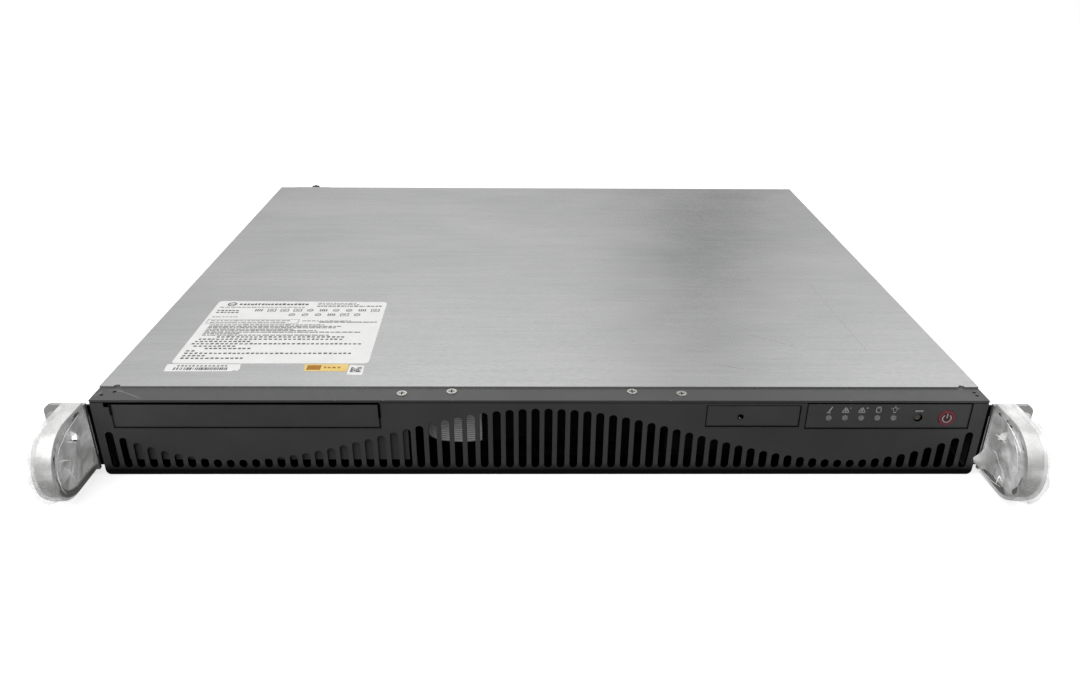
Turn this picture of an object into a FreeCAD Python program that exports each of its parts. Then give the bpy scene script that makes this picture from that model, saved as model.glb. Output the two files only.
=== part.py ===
"""Short-depth one-unit rack server, built as a FreeCAD document.

X runs across the rack, +Y from the front panel to the rear, +Z up.  Every piece is
laid out from the front panel's outer face (y = 0), the chassis centre line (x = 0)
and the underside of the tray (z = 0); each piece's Placement then moves it so that
the origin lies on the surface under the middle of the whole server.
"""
import FreeCAD, Part
import math
import os
import re
import Sketcher
from FreeCAD import Placement, Rotation, Vector

# Driving dimensions in millimetres.
SIZES = {
    # overall
    "body_width": 437.0,        # chassis across, cover included
    "body_depth": 368.0,        # front face to the rear panel's outer face
    "body_height": 43.6,        # underside of the tray to the top of the cover
    "ear_reach": 22.8,          # chassis side to the rack ear's outer edge
    "rack_slot_inset": 8.75,    # ear's outer edge to the middle of its rack slot
    # sheet metal
    "tray_sheet": 1.0,
    "panel_sheet": 1.2,
    "cover_sheet": 0.8,
    "bend_radius": 2.5,         # outer radius of the lower long edges
    "seat_gap": 0.1,            # between sheets that slide over each other
    "cover_side_gap": 0.2,      # between the cover's flange and the recessed side wall
    "groove_depth": 3.0,        # groove in the side wall that holds the cover down
    "groove_floor": 30.2,
    "groove_height": 1.8,
    "wall_flange": 12.0,        # inward flange along the top of each side wall
    "cover_lip": 1.8,           # inward lip of the cover's flange, inside the groove
    "rail_hole": 1.75,          # rail screw holes in each side wall
    "rail_first": 90.0,
    "rail_pitch": 220.0,
    "rail_height": 14.0,
    # front panel
    "strip_depth": 12.5,        # top strip that stays visible
    "strip_tuck": 7.5,          # part of the strip under the cover
    "sole_depth": 14.0,         # lower flange that stands on the tray's floor
    "slot_pitch": 6.35,
    "slot_width": 4.0,
    "slot_bottom": 4.0,
    "slot_pairs": 34,           # slots on each side of the centre line
    "wave_low": 8.6,            # top of the shortest slot
    "wave_high": 38.2,          # top of the slots at the centre
    "wave_half": 154.0,         # centre to the low point of the wave
    "wave_outer": 0.0047,       # curvature of the rise towards the ears
    "strip_screw_outer": 68.7,
    "strip_screw_inner": 44.5,
    "strip_screw_front": 6.5,
    "strip_screw_back": 8.5,
    "strip_head": 2.5,
    "strip_head_height": 0.5,
    "strip_shank": 4.0,
    "cross_span": 1.6,          # arm of the recess in a screw's head
    "cross_slot": 0.8,
    "cross_depth": 1.2,
    "corner_hole": 0.9,         # small holes near the strip's ends
    "corner_hole_out": 214.5,
    "corner_hole_in": 209.5,
    "corner_hole_front": 5.1,
    "corner_hole_back": 8.3,
    "bend_line": 0.4,           # scored line under the strip's front edge
    # bays in the front panel
    "bay_left": 209.3,
    "bay_right": 79.0,
    "bay_sill": 27.3,
    "blank_gap": 0.4,
    "bay_head_gap": 1.4,        # open gap above the optical bay's blank
    "blank_wall": 1.5,
    "blank_depth": 10.0,
    "port_left": 80.4,
    "port_width": 46.2,
    "port_sill": 28.2,
    "port_height": 11.8,
    "control_left": 129.6,
    "control_width": 81.2,
    "control_sill": 27.1,
    "control_height": 14.0,
    "lens_first": 140.9,
    "lens_pitch": 8.0,
    "lens_radius": 1.45,
    "lens_proud": 0.2,
    "button_height": 33.1,      # height of lenses and buttons
    "reset_across": 185.05,
    "reset_hole": 2.2,
    "reset_radius": 1.5,
    "power_across": 199.25,
    "reset_recess": 0.8,
    "power_radius": 4.1,
    "power_proud": 0.3,
    "button_gap": 0.15,
    "button_travel": 0.8,
    "board_sheet": 1.6,         # every circuit board
    "control_board_back": 9.0,  # front face of the control board
    "switch_depth": 3.5,
    "switch_plunger": 0.8,
    "bracket_sheet": 0.8,
    "shield_sheet": 0.5,
    "lip_low": 7.6,             # lower edge of the bay bracket's lip
    "lip_setback": 0.8,
    # rack ears
    "ear_bottom": 3.0,
    "ear_height": 37.0,
    "ear_sheet": 1.5,
    "ear_corner": 4.0,
    "flange_inset": 1.5,        # ear bracket's flange inside the silver plate's outline
    "ear_screw_front": 20.0,
    "ear_screw_rear": 44.0,
    "ear_screw_low": 10.0,
    "ear_screw_high": 24.0,
    "ear_leaf": 58.0,           # leaf along the chassis side
    "plate_sheet": 2.0,         # silver plate of each handle
    "plate_inset": 2.7,         # chassis side to the plate
    "handle_inset": 4.0,        # chassis side to the bar
    "bar_width": 8.0,
    "bar_sheet": 3.5,
    "handle_leg": 18.0,
    "bar_round": 0.8,
    "rack_slot_width": 6.8,
    "rack_slot_length": 10.0,
    "film_sheet": 0.3,
    "film_gap": 0.4,
    "film_stand": 2.2,          # film's outer face in front of the bar
    "film_mouth": 3.0,
    # cover screw
    "thumb_across": 191.0,
    "thumb_height": 38.6,
    "thumb_radius": 4.8,
    "thumb_head": 8.4,
    "thumb_rib": 0.7,           # radius of the ribs round the head
    "notch_inset": 8.5,         # chassis side to the notch in the cover's front edge
    "screw_radius": 1.5,        # every M3 shank
    "screw_gap": 0.1,
    "tab_width": 28.0,
    "tab_height": 10.8,
    "cover_notch": 1.6,
    # power supply
    "psu_left": 213.0,
    "psu_width": 100.0,
    "psu_clearance": 4.0,       # left drive to the power supply
    "psu_height": 40.0,
    "psu_wall": 0.8,
    "psu_vent_pitch": 9.0,
    "core_size": 31.0,          # transformer
    "core_height": 24.0,
    "sink_sheet": 3.0,          # heat-sink plates on the supply's board
    "sink_plate": 27.0,
    "can_radius": 5.0,          # capacitors
    "can_height": 20.0,
    "can_pitch": 12.0,
    "psu_fan_across": 140.0,
    "psu_fan_size": 38.0,
    "psu_fan_depth": 20.0,
    "fan_gap": 0.6,             # blade tips to the frame
    "shaft_radius": 1.6,
    "shaft_gap": 0.05,
    "inlet_width": 27.0,
    "inlet_height": 19.8,
    "inlet_centre": 17.0,
    "inlet_depth": 16.0,
    "inlet_flange": 2.0,
    "inlet_rim": 1.4,
    "inlet_wall": 1.6,
    # openings of the rear panel
    "io_width": 158.0,
    "io_sill": 4.0,
    "io_height": 37.0,
    "slot_left": 92.0,          # expansion slot opening
    "slot_across": 116.0,
    "slot_sill": 12.0,
    "slot_up": 14.0,
    "vent_sill": 31.0,
    "vent_pitch": 6.5,
    "vent_radius": 2.2,
    # blower
    "blower_size": 97.0,
    "blower_front": 24.5,
    "blower_height": 33.0,
    "blower_foot": 3.0,
    "blower_wall": 2.0,
    "impeller_radius": 39.0,
    "impeller_blades": 31,
    "inlet_radius": 31.0,
    "motor_radius": 17.0,
    "shroud_wall": 1.5,
    "shroud_top": 38.0,
    "guard_wire": 1.2,
    "guard_pitch": 5.5,
    # motherboard and what it carries
    "board_left": 100.0,
    "board_width": 244.0,
    "board_clearance": 6.8,     # right drive to the board
    "standoff": 6.4,
    "sink_across": 20.0,
    "duct_length": 48.5,        # blower to the heat sink
    "sink_size": 90.0,
    "sink_base": 5.0,
    "sink_top": 38.0,
    "sink_screw_inset": 7.0,
    "spring_height": 7.0,
    "sink_notch": 6.0,          # half of the room round each of its screws
    "fin_sheet": 0.7,
    "fin_pitch": 3.7,
    "chipset_size": 38.0,
    "chipset_height": 18.0,
    "chipset_fin": 1.5,
    "cpu_size": 37.5,
    "cpu_height": 3.2,
    "cpu_step": 1.0,
    "cpu_margin": 5.0,
    "memory_inset": 40.0,       # board's right edge to the inner module
    "memory_pitch": 12.0,
    "memory_setback": 15.6,     # board's front edge to the modules
    "memory_length": 133.35,
    "memory_height": 30.0,
    "socket_width": 7.2,
    "socket_height": 6.4,
    "socket_end": 3.0,          # socket beyond each end of its module
    "socket_gap": 0.2,
    "module_sheet": 1.2,
    "chip_height": 1.0,
    "chip_pitch": 14.0,
    "chip_length": 10.0,
    "riser_inset": 20.0,        # board's right edge to the riser card
    "riser_rear": 16.0,         # board's rear edge to the riser card
    "riser_length": 58.0,
    "riser_seat": 9.0,
    "coil_size": 10.0,
    "coil_pitch": 14.0,
    "header_pitch": 10.0,
    "board_hole_side": 8.0,     # board's edges to its screw holes
    "board_hole_front": 7.0,
    "board_hole_middle": 14.0,
    "board_hole_rear": 24.0,
    # drives
    "drive_width": 101.6,
    "drive_length": 147.0,
    "drive_height": 25.4,
    "drive_screw_inset": 12.0,
    "left_drive_across": 155.2,
    "left_drive_front": 16.0,
    "right_drive_across": 138.5,
    "right_drive_front": 22.0,
    # flat control cable
    "ribbon_height": 18.0,
    "ribbon_sheet": 0.9,
    "ribbon_bottom": 15.0,
    "ribbon_run": 17.6,         # panel's face to the cable's long run
    "ribbon_bow": 6.2,          # panel's face to the cable where it bows forward
    "ribbon_bow_across": 38.0,
    "ribbon_turn": 63.0,        # centre line to the cable's run to the rear
    "ribbon_landing": 15.6,     # board's front edge to the cable's end
    "plug_reach": 4.6,          # half of the front plug's width
    "plug_half": 3.0,           # half of the rear plug's width
    "header_depth": 2.5,
    "sleeve_gap": 0.1,
    "sleeve_wall": 0.5,
}

doc = FreeCAD.newDocument("RackServer")
sheet = doc.addObject("Spreadsheet::Sheet", "Sizes")
for row, (alias, number) in enumerate(SIZES.items(), 1):
    sheet.set("A%d" % row, alias.replace("_", " "))
    sheet.set("B%d" % row, str(number))
    sheet.setAlias("B%d" % row, alias)
doc.recompute()

# Places that several pieces share, written from the driving dimensions.
HALF = "(body_width / 2)"
PANEL_TOP = "(body_height - cover_sheet - seat_gap)"
STRIP_UNDER = "(" + PANEL_TOP + " - panel_sheet)"
WALL_TOP = "(body_height - cover_sheet - cover_side_gap)"
COVER_STEP = "(cover_sheet + cover_side_gap)"
WALL_INSIDE = "(" + HALF + " - " + COVER_STEP + " - tray_sheet)"
GROOVE_INSIDE = "(" + HALF + " - groove_depth - tray_sheet)"
REAR_INSIDE = "(body_depth - tray_sheet)"
EAR_MIDDLE = "(ear_bottom + ear_height / 2)"
EAR_EDGE = "(body_width / 2 + ear_reach)"
FLANGE_FRONT = "plate_sheet"
HANDLE_REACH = "(handle_leg + ear_height / 2)"
NOSE = "(" + HANDLE_REACH + " + film_stand)"
TAIL = "(body_depth + seat_gap * 2 + cover_sheet + thumb_head)"
FRONT = "((" + NOSE + " - " + TAIL + ") / 2)"
BOARD_UNDER = "(tray_sheet + standoff)"
BOARD_TOP = "(" + BOARD_UNDER + " + board_sheet)"
BOARD_FRONT = "(right_drive_front + drive_width + board_clearance)"
BOARD_REAR = "(" + REAR_INSIDE + " - shield_sheet - seat_gap)"
BOARD_RIGHT = "(board_width - board_left)"
BLOWER_UNDER = "(tray_sheet + blower_foot)"
BLOWER_MIDDLE = "(blower_front + blower_size / 2)"
BLOWER_REAR = "(blower_front + blower_size)"
SINK_FRONT = "(" + BLOWER_REAR + " + duct_length)"
SINK_MIDDLE = "(" + SINK_FRONT + " + sink_size / 2)"
SINK_REAR = "(" + SINK_FRONT + " + sink_size)"
PSU_FRONT = "(left_drive_front + drive_length + psu_clearance)"
PSU_RIGHT = "(psu_left - psu_width)"
FAN_HEIGHT = "(tray_sheet + psu_height / 2)"

REAR_LIP = "(body_depth + seat_gap)"
IO_LEFT = "(board_left - 6)"
RISER_ACROSS = "(" + BOARD_RIGHT + " - riser_inset)"
RISER_FRONT = "(" + BOARD_REAR + " - riser_rear - riser_length)"
PORT_SCREW = "(port_left + 17)"
PORT_MIDDLE = "(port_sill + port_height / 2 - 0.6)"
CONTROL_BOARD_LEFT = "(control_left + 1.5)"
CONTROL_BOARD_RIGHT = "(control_left + control_width - 1.5)"
CONTROL_BOARD_REAR = "(control_board_back + board_sheet)"
RIBBON_PLUG = "(control_left + 23)"
SWITCH_TRAVEL = "(button_travel + button_gap)"
INLET_LEFT = "(-thumb_across - inlet_width / 2)"
INLET_RIGHT = "(-thumb_across + inlet_width / 2)"
INLET_LOW = "(inlet_centre - inlet_height / 2)"
INLET_HIGH = "(inlet_centre + inlet_height / 2)"
BAR_MIDDLE = "(body_width / 2 + handle_inset + bar_width / 2)"

PARTS = []


def ex(text):
    """Write an expression so that its names point at the sheet."""
    return re.sub(r"[a-z_]+", lambda m: "Sizes." + m[0] if m[0] in SIZES else m[0], str(text))


def val(text):
    """The number that an expression gives with the sheet's present values."""
    result = sheet.evalExpression(ex(text))
    return float(getattr(result, "Value", result))


def bind(item, **properties):
    """Bind properties to expressions; a double underscore stands for a dot."""
    for name, text in properties.items():
        item.setExpression(name.replace("__", "."), ex(text))
    return item


def place(item, x, y, z):
    return bind(item, Placement__Base__x=x, Placement__Base__y=y, Placement__Base__z=z)


def node(label, item):
    """Name a finished sub-part and bind its Placement to the server's origin."""
    item.Label = label
    bind(item, Placement__Base__y=FRONT)
    PARTS.append(item)
    return item


# Part primitives ------------------------------------------------------------
AXES = {
    "x": Rotation(Vector(0, 1, 0), 90),
    "y": Rotation(Vector(1, 0, 0), -90),
    "z": Rotation(),
}


def box(x, y, z, length, width, height):
    item = doc.addObject("Part::Box", "Box")
    bind(item, Length=length, Width=width, Height=height)
    return place(item, x, y, z)


def block(x0, x1, y0, y1, z0, z1):
    """A box given by its two corners."""
    spans = ["(%s) - (%s)" % pair for pair in ((x1, x0), (y1, y0), (z1, z0))]
    return box(x0, y0, z0, *spans)


def cylinder(axis, x, y, z, radius, length):
    item = doc.addObject("Part::Cylinder", "Cylinder")
    item.Placement = Placement(Vector(), AXES[axis])
    bind(item, Radius=radius, Height=length)
    return place(item, x, y, z)


def fuse(*items):
    if len(items) == 1:
        return items[0]
    item = doc.addObject("Part::MultiFuse", "Fuse")
    item.Shapes = list(items)
    item.Refine = True
    return item


def cut(base, *tools):
    item = doc.addObject("Part::Cut", "Cut")
    item.Base = base
    item.Tool = fuse(*tools)
    item.Refine = True
    return item


def group(*items):
    """Several separate solids that share one node."""
    item = doc.addObject("Part::Compound", "Group")
    item.Links = list(items)
    return item


def mirrored(label, source):
    """The same piece on the other side of the centre line."""
    item = doc.addObject("Part::Mirroring", "Mirror")
    item.Source = source
    item.Normal = Vector(1, 0, 0)
    item.Label = label
    PARTS.append(item)
    return item


# PartDesign bodies ----------------------------------------------------------
def new_body():
    return doc.addObject("PartDesign::Body", "Body")


def sketch(body, role, offset="0"):
    item = body.newObject("Sketcher::SketchObject", "Sketch")
    plane = next(f for f in body.Origin.OriginFeatures if f.Role == role)
    item.AttachmentSupport = [(plane, "")]
    item.MapMode = "FlatFace"
    bind(item, AttachmentOffset__Base__z=offset)
    return item


def outline(item, points):
    """A closed outline of straight lines; every corner is bound to the sheet."""
    first = item.GeometryCount
    count = len(points)
    spots = [Vector(val(a), val(b), 0) for a, b in points]
    lines = [Part.LineSegment(spots[i], spots[(i + 1) % count]) for i in range(count)]
    item.addGeometry(lines, False)
    for i in range(count):
        item.addConstraint(Sketcher.Constraint("Coincident", first + i, 2, first + (i + 1) % count, 1))
    for i, (across, up) in enumerate(points):
        for kind, text, number in (("DistanceX", across, spots[i].x), ("DistanceY", up, spots[i].y)):
            index = item.addConstraint(Sketcher.Constraint(kind, -1, 1, first + i, 1, number))
            bind(item, **{"Constraints[%d]" % index: text})
    return item


def rectangle(item, x0, x1, y0, y1):
    return outline(item, [(x0, y0), (x1, y0), (x1, y1), (x0, y1)])


def circle(item, x, y, radius):
    shape = Part.Circle(Vector(val(x), val(y), 0), Vector(0, 0, 1), val(radius))
    index = item.addGeometry(shape, False)
    for kind, text in (("DistanceX", x), ("DistanceY", y)):
        made = item.addConstraint(Sketcher.Constraint(kind, -1, 1, index, 3, val(text)))
        bind(item, **{"Constraints[%d]" % made: text})
    made = item.addConstraint(Sketcher.Constraint("Radius", index, val(radius)))
    bind(item, **{"Constraints[%d]" % made: radius})
    return item


def stadium(item, start, end, radius):
    """A round-ended slot between two arc centres, given as vectors."""
    along = (end - start).normalize()
    side = Vector(-along.y, along.x, 0) * radius
    turn = along * radius
    item.addGeometry([
        Part.LineSegment(start + side, end + side),
        Part.Arc(end + side, end + turn, end - side),
        Part.LineSegment(end - side, start - side),
        Part.Arc(start - side, start - turn, start + side),
    ], False)
    return item


def pad(body, profile, length, symmetric=False, reverse=False):
    item = body.newObject("PartDesign::Pad", "Pad")
    item.Profile = profile
    item.SideType = "Symmetric" if symmetric else "One side"
    item.Reversed = reverse
    bind(item, Length=length)
    return item


def pocket(body, profile, length, symmetric=False, reverse=False):
    """Cut a pocket and make sure that it removes material."""
    doc.recompute()
    before = body.Shape.Volume
    item = body.newObject("PartDesign::Pocket", "Pocket")
    item.Profile = profile
    item.SideType = "Symmetric" if symmetric else "One side"
    item.Reversed = reverse
    bind(item, Length=length)
    doc.recompute()
    if body.Shape.Volume > before - 0.01:
        raise RuntimeError("a pocket of %s cuts nothing" % body.Name)
    return item


def round_edges(body, radius, chosen):
    """Round the edges of the body's present shape that the test picks."""
    doc.recompute()
    base = body.Tip
    names = ["Edge%d" % (i + 1) for i, edge in enumerate(base.Shape.Edges) if chosen(edge)]
    if not names:
        raise RuntimeError("no edge to round on %s" % body.Name)
    item = body.newObject("PartDesign::Fillet", "Fillet")
    item.Base = (base, names)
    bind(item, Radius=radius)
    doc.recompute()
    return item


def near(a, b):
    return abs(a - b) < 0.01


def edge_along(axis, *wanted):
    """A test for straight edges along an axis that pass through given places."""
    def test(edge):
        low, high = edge.BoundBox, edge.BoundBox
        spans = {"x": low.XLength, "y": low.YLength, "z": low.ZLength}
        if spans[axis] < 0.1 or any(s > 0.01 for name, s in spans.items() if name != axis):
            return False
        middle = {"x": high.Center.x, "y": high.Center.y, "z": high.Center.z}
        return any(all(near(middle[n], v) for n, v in spot.items()) for spot in wanted)
    return test


# Chassis sheets -------------------------------------------------------------
def wall_outline():
    """Right half of the section's outer line, from the floor to the top flange."""
    groove_top = "(groove_floor + groove_height)"
    return [
        (HALF, "0"),
        (HALF, "groove_floor"),
        (HALF + " - groove_depth", "groove_floor"),
        (HALF + " - groove_depth", groove_top),
        (HALF + " - " + COVER_STEP, groove_top),
        (HALF + " - " + COVER_STEP, WALL_TOP),
    ]


def both_sides(right):
    """A right half outline, bottom to top, closed by its mirror image."""
    left = [("-(%s)" % across, up) for across, up in reversed(right)]
    return right + left


def chassis_tray():
    body = new_body()
    groove_top = "(groove_floor + groove_height)"
    inner = [
        (HALF + " - wall_flange", WALL_TOP),
        (HALF + " - wall_flange", WALL_TOP + " - tray_sheet"),
        (WALL_INSIDE, WALL_TOP + " - tray_sheet"),
        (WALL_INSIDE, groove_top + " + tray_sheet"),
        (GROOVE_INSIDE, groove_top + " + tray_sheet"),
        (GROOVE_INSIDE, "groove_floor - tray_sheet"),
        (HALF + " - tray_sheet", "groove_floor - tray_sheet"),
        (HALF + " - tray_sheet", "tray_sheet"),
    ]
    section = outline(sketch(body, "XZ_Plane", "-panel_sheet"), both_sides(wall_outline() + inner))
    pad(body, section, REAR_INSIDE + " - panel_sheet", reverse=True)
    half, skin, bend = val(HALF), val("tray_sheet"), val("bend_radius")
    round_edges(body, "bend_radius", edge_along("y", {"x": half, "z": 0}, {"x": -half, "z": 0}))
    if bend > skin:
        inside = edge_along("y", {"x": half - skin, "z": skin}, {"x": skin - half, "z": skin})
        round_edges(body, "bend_radius - tray_sheet", inside)
    head = sketch(body, "YZ_Plane")
    rectangle(head, "0", "strip_depth + strip_tuck + blank_gap", STRIP_UNDER + " - seat_gap * 2",
              "body_height")
    pocket(body, head, "body_width * 2", symmetric=True)
    holes = sketch(body, "YZ_Plane")
    for along in ("rail_first", "rail_first + rail_pitch"):
        circle(holes, along, "rail_height", "rail_hole")
    for along, up in ear_screw_places():
        circle(holes, along, up, "screw_radius + screw_gap")
    pocket(body, holes, "body_width * 2", symmetric=True)
    floor = sketch(body, "XY_Plane")
    for across, along in drive_screw_places():
        circle(floor, across, along, "screw_radius + screw_gap")
    pocket(body, floor, "tray_sheet * 3", symmetric=True)
    return node("chassis_tray", body)


def ear_screw_places():
    """Side screws of each ear bracket: along the wall and up."""
    heights = ("ear_screw_low", "ear_screw_high")
    return [(along, up) for along in ("ear_screw_front", "ear_screw_rear") for up in heights]


def drive_screw_places():
    """Four screws under each drive, as places across and along."""
    places = []
    for across, front, wide, deep in (
        ("-left_drive_across", "left_drive_front", "drive_width", "drive_length"),
        ("right_drive_across", "right_drive_front", "drive_length", "drive_width"),
    ):
        for side in (-1, 1):
            for end in (-1, 1):
                x = "%s + %d * (%s / 2 - drive_screw_inset)" % (across, side, wide)
                y = "%s + %s / 2 + %d * (%s / 2 - drive_screw_inset)" % (front, deep, end, deep)
                places.append((x, y))
    return places


def rear_panel():
    body = new_body()
    face = outline(sketch(body, "XZ_Plane", "-" + REAR_INSIDE), both_sides(wall_outline()))
    pad(body, face, "tray_sheet", reverse=True)
    half = val(HALF)
    round_edges(body, "bend_radius", edge_along("y", {"x": half, "z": 0}, {"x": -half, "z": 0}))
    openings = sketch(body, "XZ_Plane", "-" + REAR_INSIDE)
    rectangle(openings, INLET_LEFT + " - seat_gap", INLET_RIGHT + " + seat_gap",
              INLET_LOW + " - seat_gap", INLET_HIGH + " + seat_gap")
    rectangle(openings, "-" + IO_LEFT, "-%s + io_width" % IO_LEFT, "io_sill", "io_sill + io_height")
    rectangle(openings, "slot_left", "slot_left + slot_across", "slot_sill", "slot_sill + slot_up")
    circle(openings, "-psu_fan_across", FAN_HEIGHT, "psu_fan_size / 2 - fan_gap")
    circle(openings, "-thumb_across", "thumb_height", "screw_radius + screw_gap")
    pocket(body, openings, "tray_sheet * 3", symmetric=True)
    vents = sketch(body, "XZ_Plane", "-" + REAR_INSIDE)
    for row in range(2):
        for column in range(15):
            across = "slot_left + slot_across / 2 + (%g) * vent_pitch" % (column - 7)
            circle(vents, across, "vent_sill + %d * vent_pitch" % row, "vent_radius")
    pocket(body, vents, "tray_sheet * 3", symmetric=True)
    return node("rear_panel", body)


def wave_top(across):
    """Height of a slot's top at a distance from the centre line."""
    low, half = val("wave_low"), val("wave_half")
    if across > half:
        return low + val("wave_outer") * (across - half) ** 2
    return low + (val("wave_high") - low) * (1 + math.cos(math.pi * across / half)) / 2


def front_panel():
    body = new_body()
    section = outline(sketch(body, "YZ_Plane"), [
        ("0", "0"),
        ("panel_sheet", "0"),
        ("panel_sheet", "tray_sheet"),
        ("sole_depth", "tray_sheet"),
        ("sole_depth", "tray_sheet + panel_sheet"),
        ("panel_sheet", "tray_sheet + panel_sheet"),
        ("panel_sheet", STRIP_UNDER),
        ("strip_depth + strip_tuck", STRIP_UNDER),
        ("strip_depth + strip_tuck", PANEL_TOP),
        ("0", PANEL_TOP),
    ])
    pad(body, section, "body_width", symmetric=True)
    for side in ("-1", "1"):
        tuck = sketch(body, "XY_Plane", PANEL_TOP)
        rectangle(tuck, "%s * %s" % (side, "(%s - seat_gap)" % WALL_INSIDE), side + " * body_width",
                  "strip_depth", "body_depth")
        pocket(body, tuck, "panel_sheet * 2")
        sole = sketch(body, "XY_Plane", "tray_sheet + panel_sheet * 2")
        rectangle(sole, "%s * (%s - bend_radius)" % (side, HALF), side + " * body_width",
                  "panel_sheet", "body_depth")
        pocket(body, sole, "panel_sheet * 2")
    half = val(HALF)
    round_edges(body, "bend_radius", edge_along("y", {"x": half, "z": 0}, {"x": -half, "z": 0}))
    slots = sketch(body, "XZ_Plane")
    radius, pitch = val("slot_width / 2"), val("slot_pitch")
    for pair in range(int(val("slot_pairs"))):
        across = (pair + 0.5) * pitch
        for x in (-across, across):
            low = Vector(x, val("slot_bottom") + radius, 0)
            high = Vector(x, wave_top(across) - radius, 0)
            stadium(slots, low, high, radius)
    pocket(body, slots, "panel_sheet * 3", symmetric=True)
    bays = sketch(body, "XZ_Plane")
    outline(bays, [
        ("-bay_left", "bay_sill"),
        ("-bay_right", "bay_sill"),
        ("-bay_right", STRIP_UNDER),
        ("-bay_left - 2 * bay_head_gap", STRIP_UNDER),
        ("-bay_left - 2 * bay_head_gap", STRIP_UNDER + " - 2 * bay_head_gap"),
        ("-bay_left", STRIP_UNDER + " - 2 * bay_head_gap"),
    ])
    rectangle(bays, "port_left", "port_left + port_width", "port_sill", "port_sill + port_height")
    rectangle(bays, "control_left", "control_left + control_width", "control_sill",
              "control_sill + control_height")
    pocket(body, bays, "panel_sheet * 3", symmetric=True)
    screws = sketch(body, "XY_Plane", PANEL_TOP)
    for across, along in strip_screw_places():
        circle(screws, across, along, "screw_radius + screw_gap")
    for across, along in corner_hole_places():
        circle(screws, across, along, "corner_hole")
    pocket(body, screws, "panel_sheet * 3", symmetric=True)
    line = sketch(body, "YZ_Plane")
    rectangle(line, "-bend_line", "bend_line", STRIP_UNDER + " - bend_line", STRIP_UNDER)
    pocket(body, line, "body_width * 2", symmetric=True)
    return node("front_panel", body)


def corner_hole_places():
    """Two small holes near each end of the strip."""
    return [
        ("-corner_hole_out", "corner_hole_front"),
        ("-corner_hole_in", "corner_hole_back"),
        ("corner_hole_out", "corner_hole_back"),
        ("corner_hole_out", "corner_hole_front"),
    ]


def strip_screw_places():
    """The four screws in the top strip, two to each side."""
    return [
        ("-strip_screw_outer", "strip_screw_front"),
        ("-strip_screw_inner", "strip_screw_back"),
        ("strip_screw_inner", "strip_screw_back"),
        ("strip_screw_outer", "strip_screw_front"),
    ]


def strip_screws():
    parts = []
    for across, along in strip_screw_places():
        head = cylinder("z", across, along, PANEL_TOP, "strip_head", "strip_head_height")
        shank = cylinder("z", across, along, PANEL_TOP + " - strip_shank", "screw_radius", "strip_shank")
        recess = cross_recess(across, along, PANEL_TOP + " + strip_head_height")
        parts.append(cut(fuse(shank, head), *recess))
    return node("strip_screws", group(*parts))


def cross_recess(x, y, top):
    """Two crossed slots sunk into a screw's head."""
    arms = []
    for wide, deep in (("cross_span", "cross_slot / 2"), ("cross_slot / 2", "cross_span")):
        arms.append(block("%s - %s" % (x, wide), "%s + %s" % (x, wide), "%s - %s" % (y, deep),
                          "%s + %s" % (y, deep), top + " - cross_depth", top + " + 1"))
    return arms


def top_cover():
    body = new_body()
    lip_low = "(groove_floor + cover_side_gap)"
    lip_high = "(%s + cover_sheet)" % lip_low
    flange_inside = "(%s - cover_sheet)" % HALF
    under = "(body_height - cover_sheet)"
    right = [
        (flange_inside, under),
        (flange_inside, lip_high),
        (HALF + " - cover_lip", lip_high),
        (HALF + " - cover_lip", lip_low),
        (HALF, lip_low),
        (HALF, "body_height"),
    ]
    section = outline(sketch(body, "XZ_Plane", "-strip_depth"), both_sides(right))
    pad(body, section, REAR_LIP + " - strip_depth", reverse=True)
    tab = sketch(body, "XZ_Plane", "-" + REAR_LIP)
    rectangle(tab, "-thumb_across - tab_width / 2", "-thumb_across + tab_width / 2",
              "body_height - tab_height", "body_height")
    pad(body, tab, "cover_sheet", reverse=True)
    hole = sketch(body, "XZ_Plane", "-" + REAR_LIP)
    circle(hole, "-thumb_across", "thumb_height", "screw_radius + screw_gap")
    pocket(body, hole, "cover_sheet * 3", symmetric=True)
    notches = sketch(body, "XY_Plane", "body_height")
    for side in ("-1", "1"):
        circle(notches, side + " * (body_width / 2 - notch_inset)", "strip_depth", "cover_notch")
    pocket(body, notches, "cover_sheet * 3", symmetric=True)
    return node("top_cover", body)


def cover_thumbscrew():
    shank = cylinder("y", "-thumb_across", REAR_LIP + " - tray_sheet - 1", "thumb_height", "screw_radius",
                     "tray_sheet + cover_sheet + seat_gap + 1")
    head_at = "(%s + cover_sheet + seat_gap)" % REAR_LIP
    grip = cylinder("y", "-thumb_across", head_at, "thumb_height", "thumb_radius - thumb_rib", "thumb_head")
    ribs = []
    for index in range(12):
        turn = index * 30
        across = "-thumb_across + (thumb_radius - thumb_rib) * cos(%d deg)" % turn
        up = "thumb_height + (thumb_radius - thumb_rib) * sin(%d deg)" % turn
        ribs.append(cylinder("y", across, head_at, up, "thumb_rib", "thumb_head - thumb_rib"))
    return node("cover_thumbscrew", fuse(shank, grip, *ribs))


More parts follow.
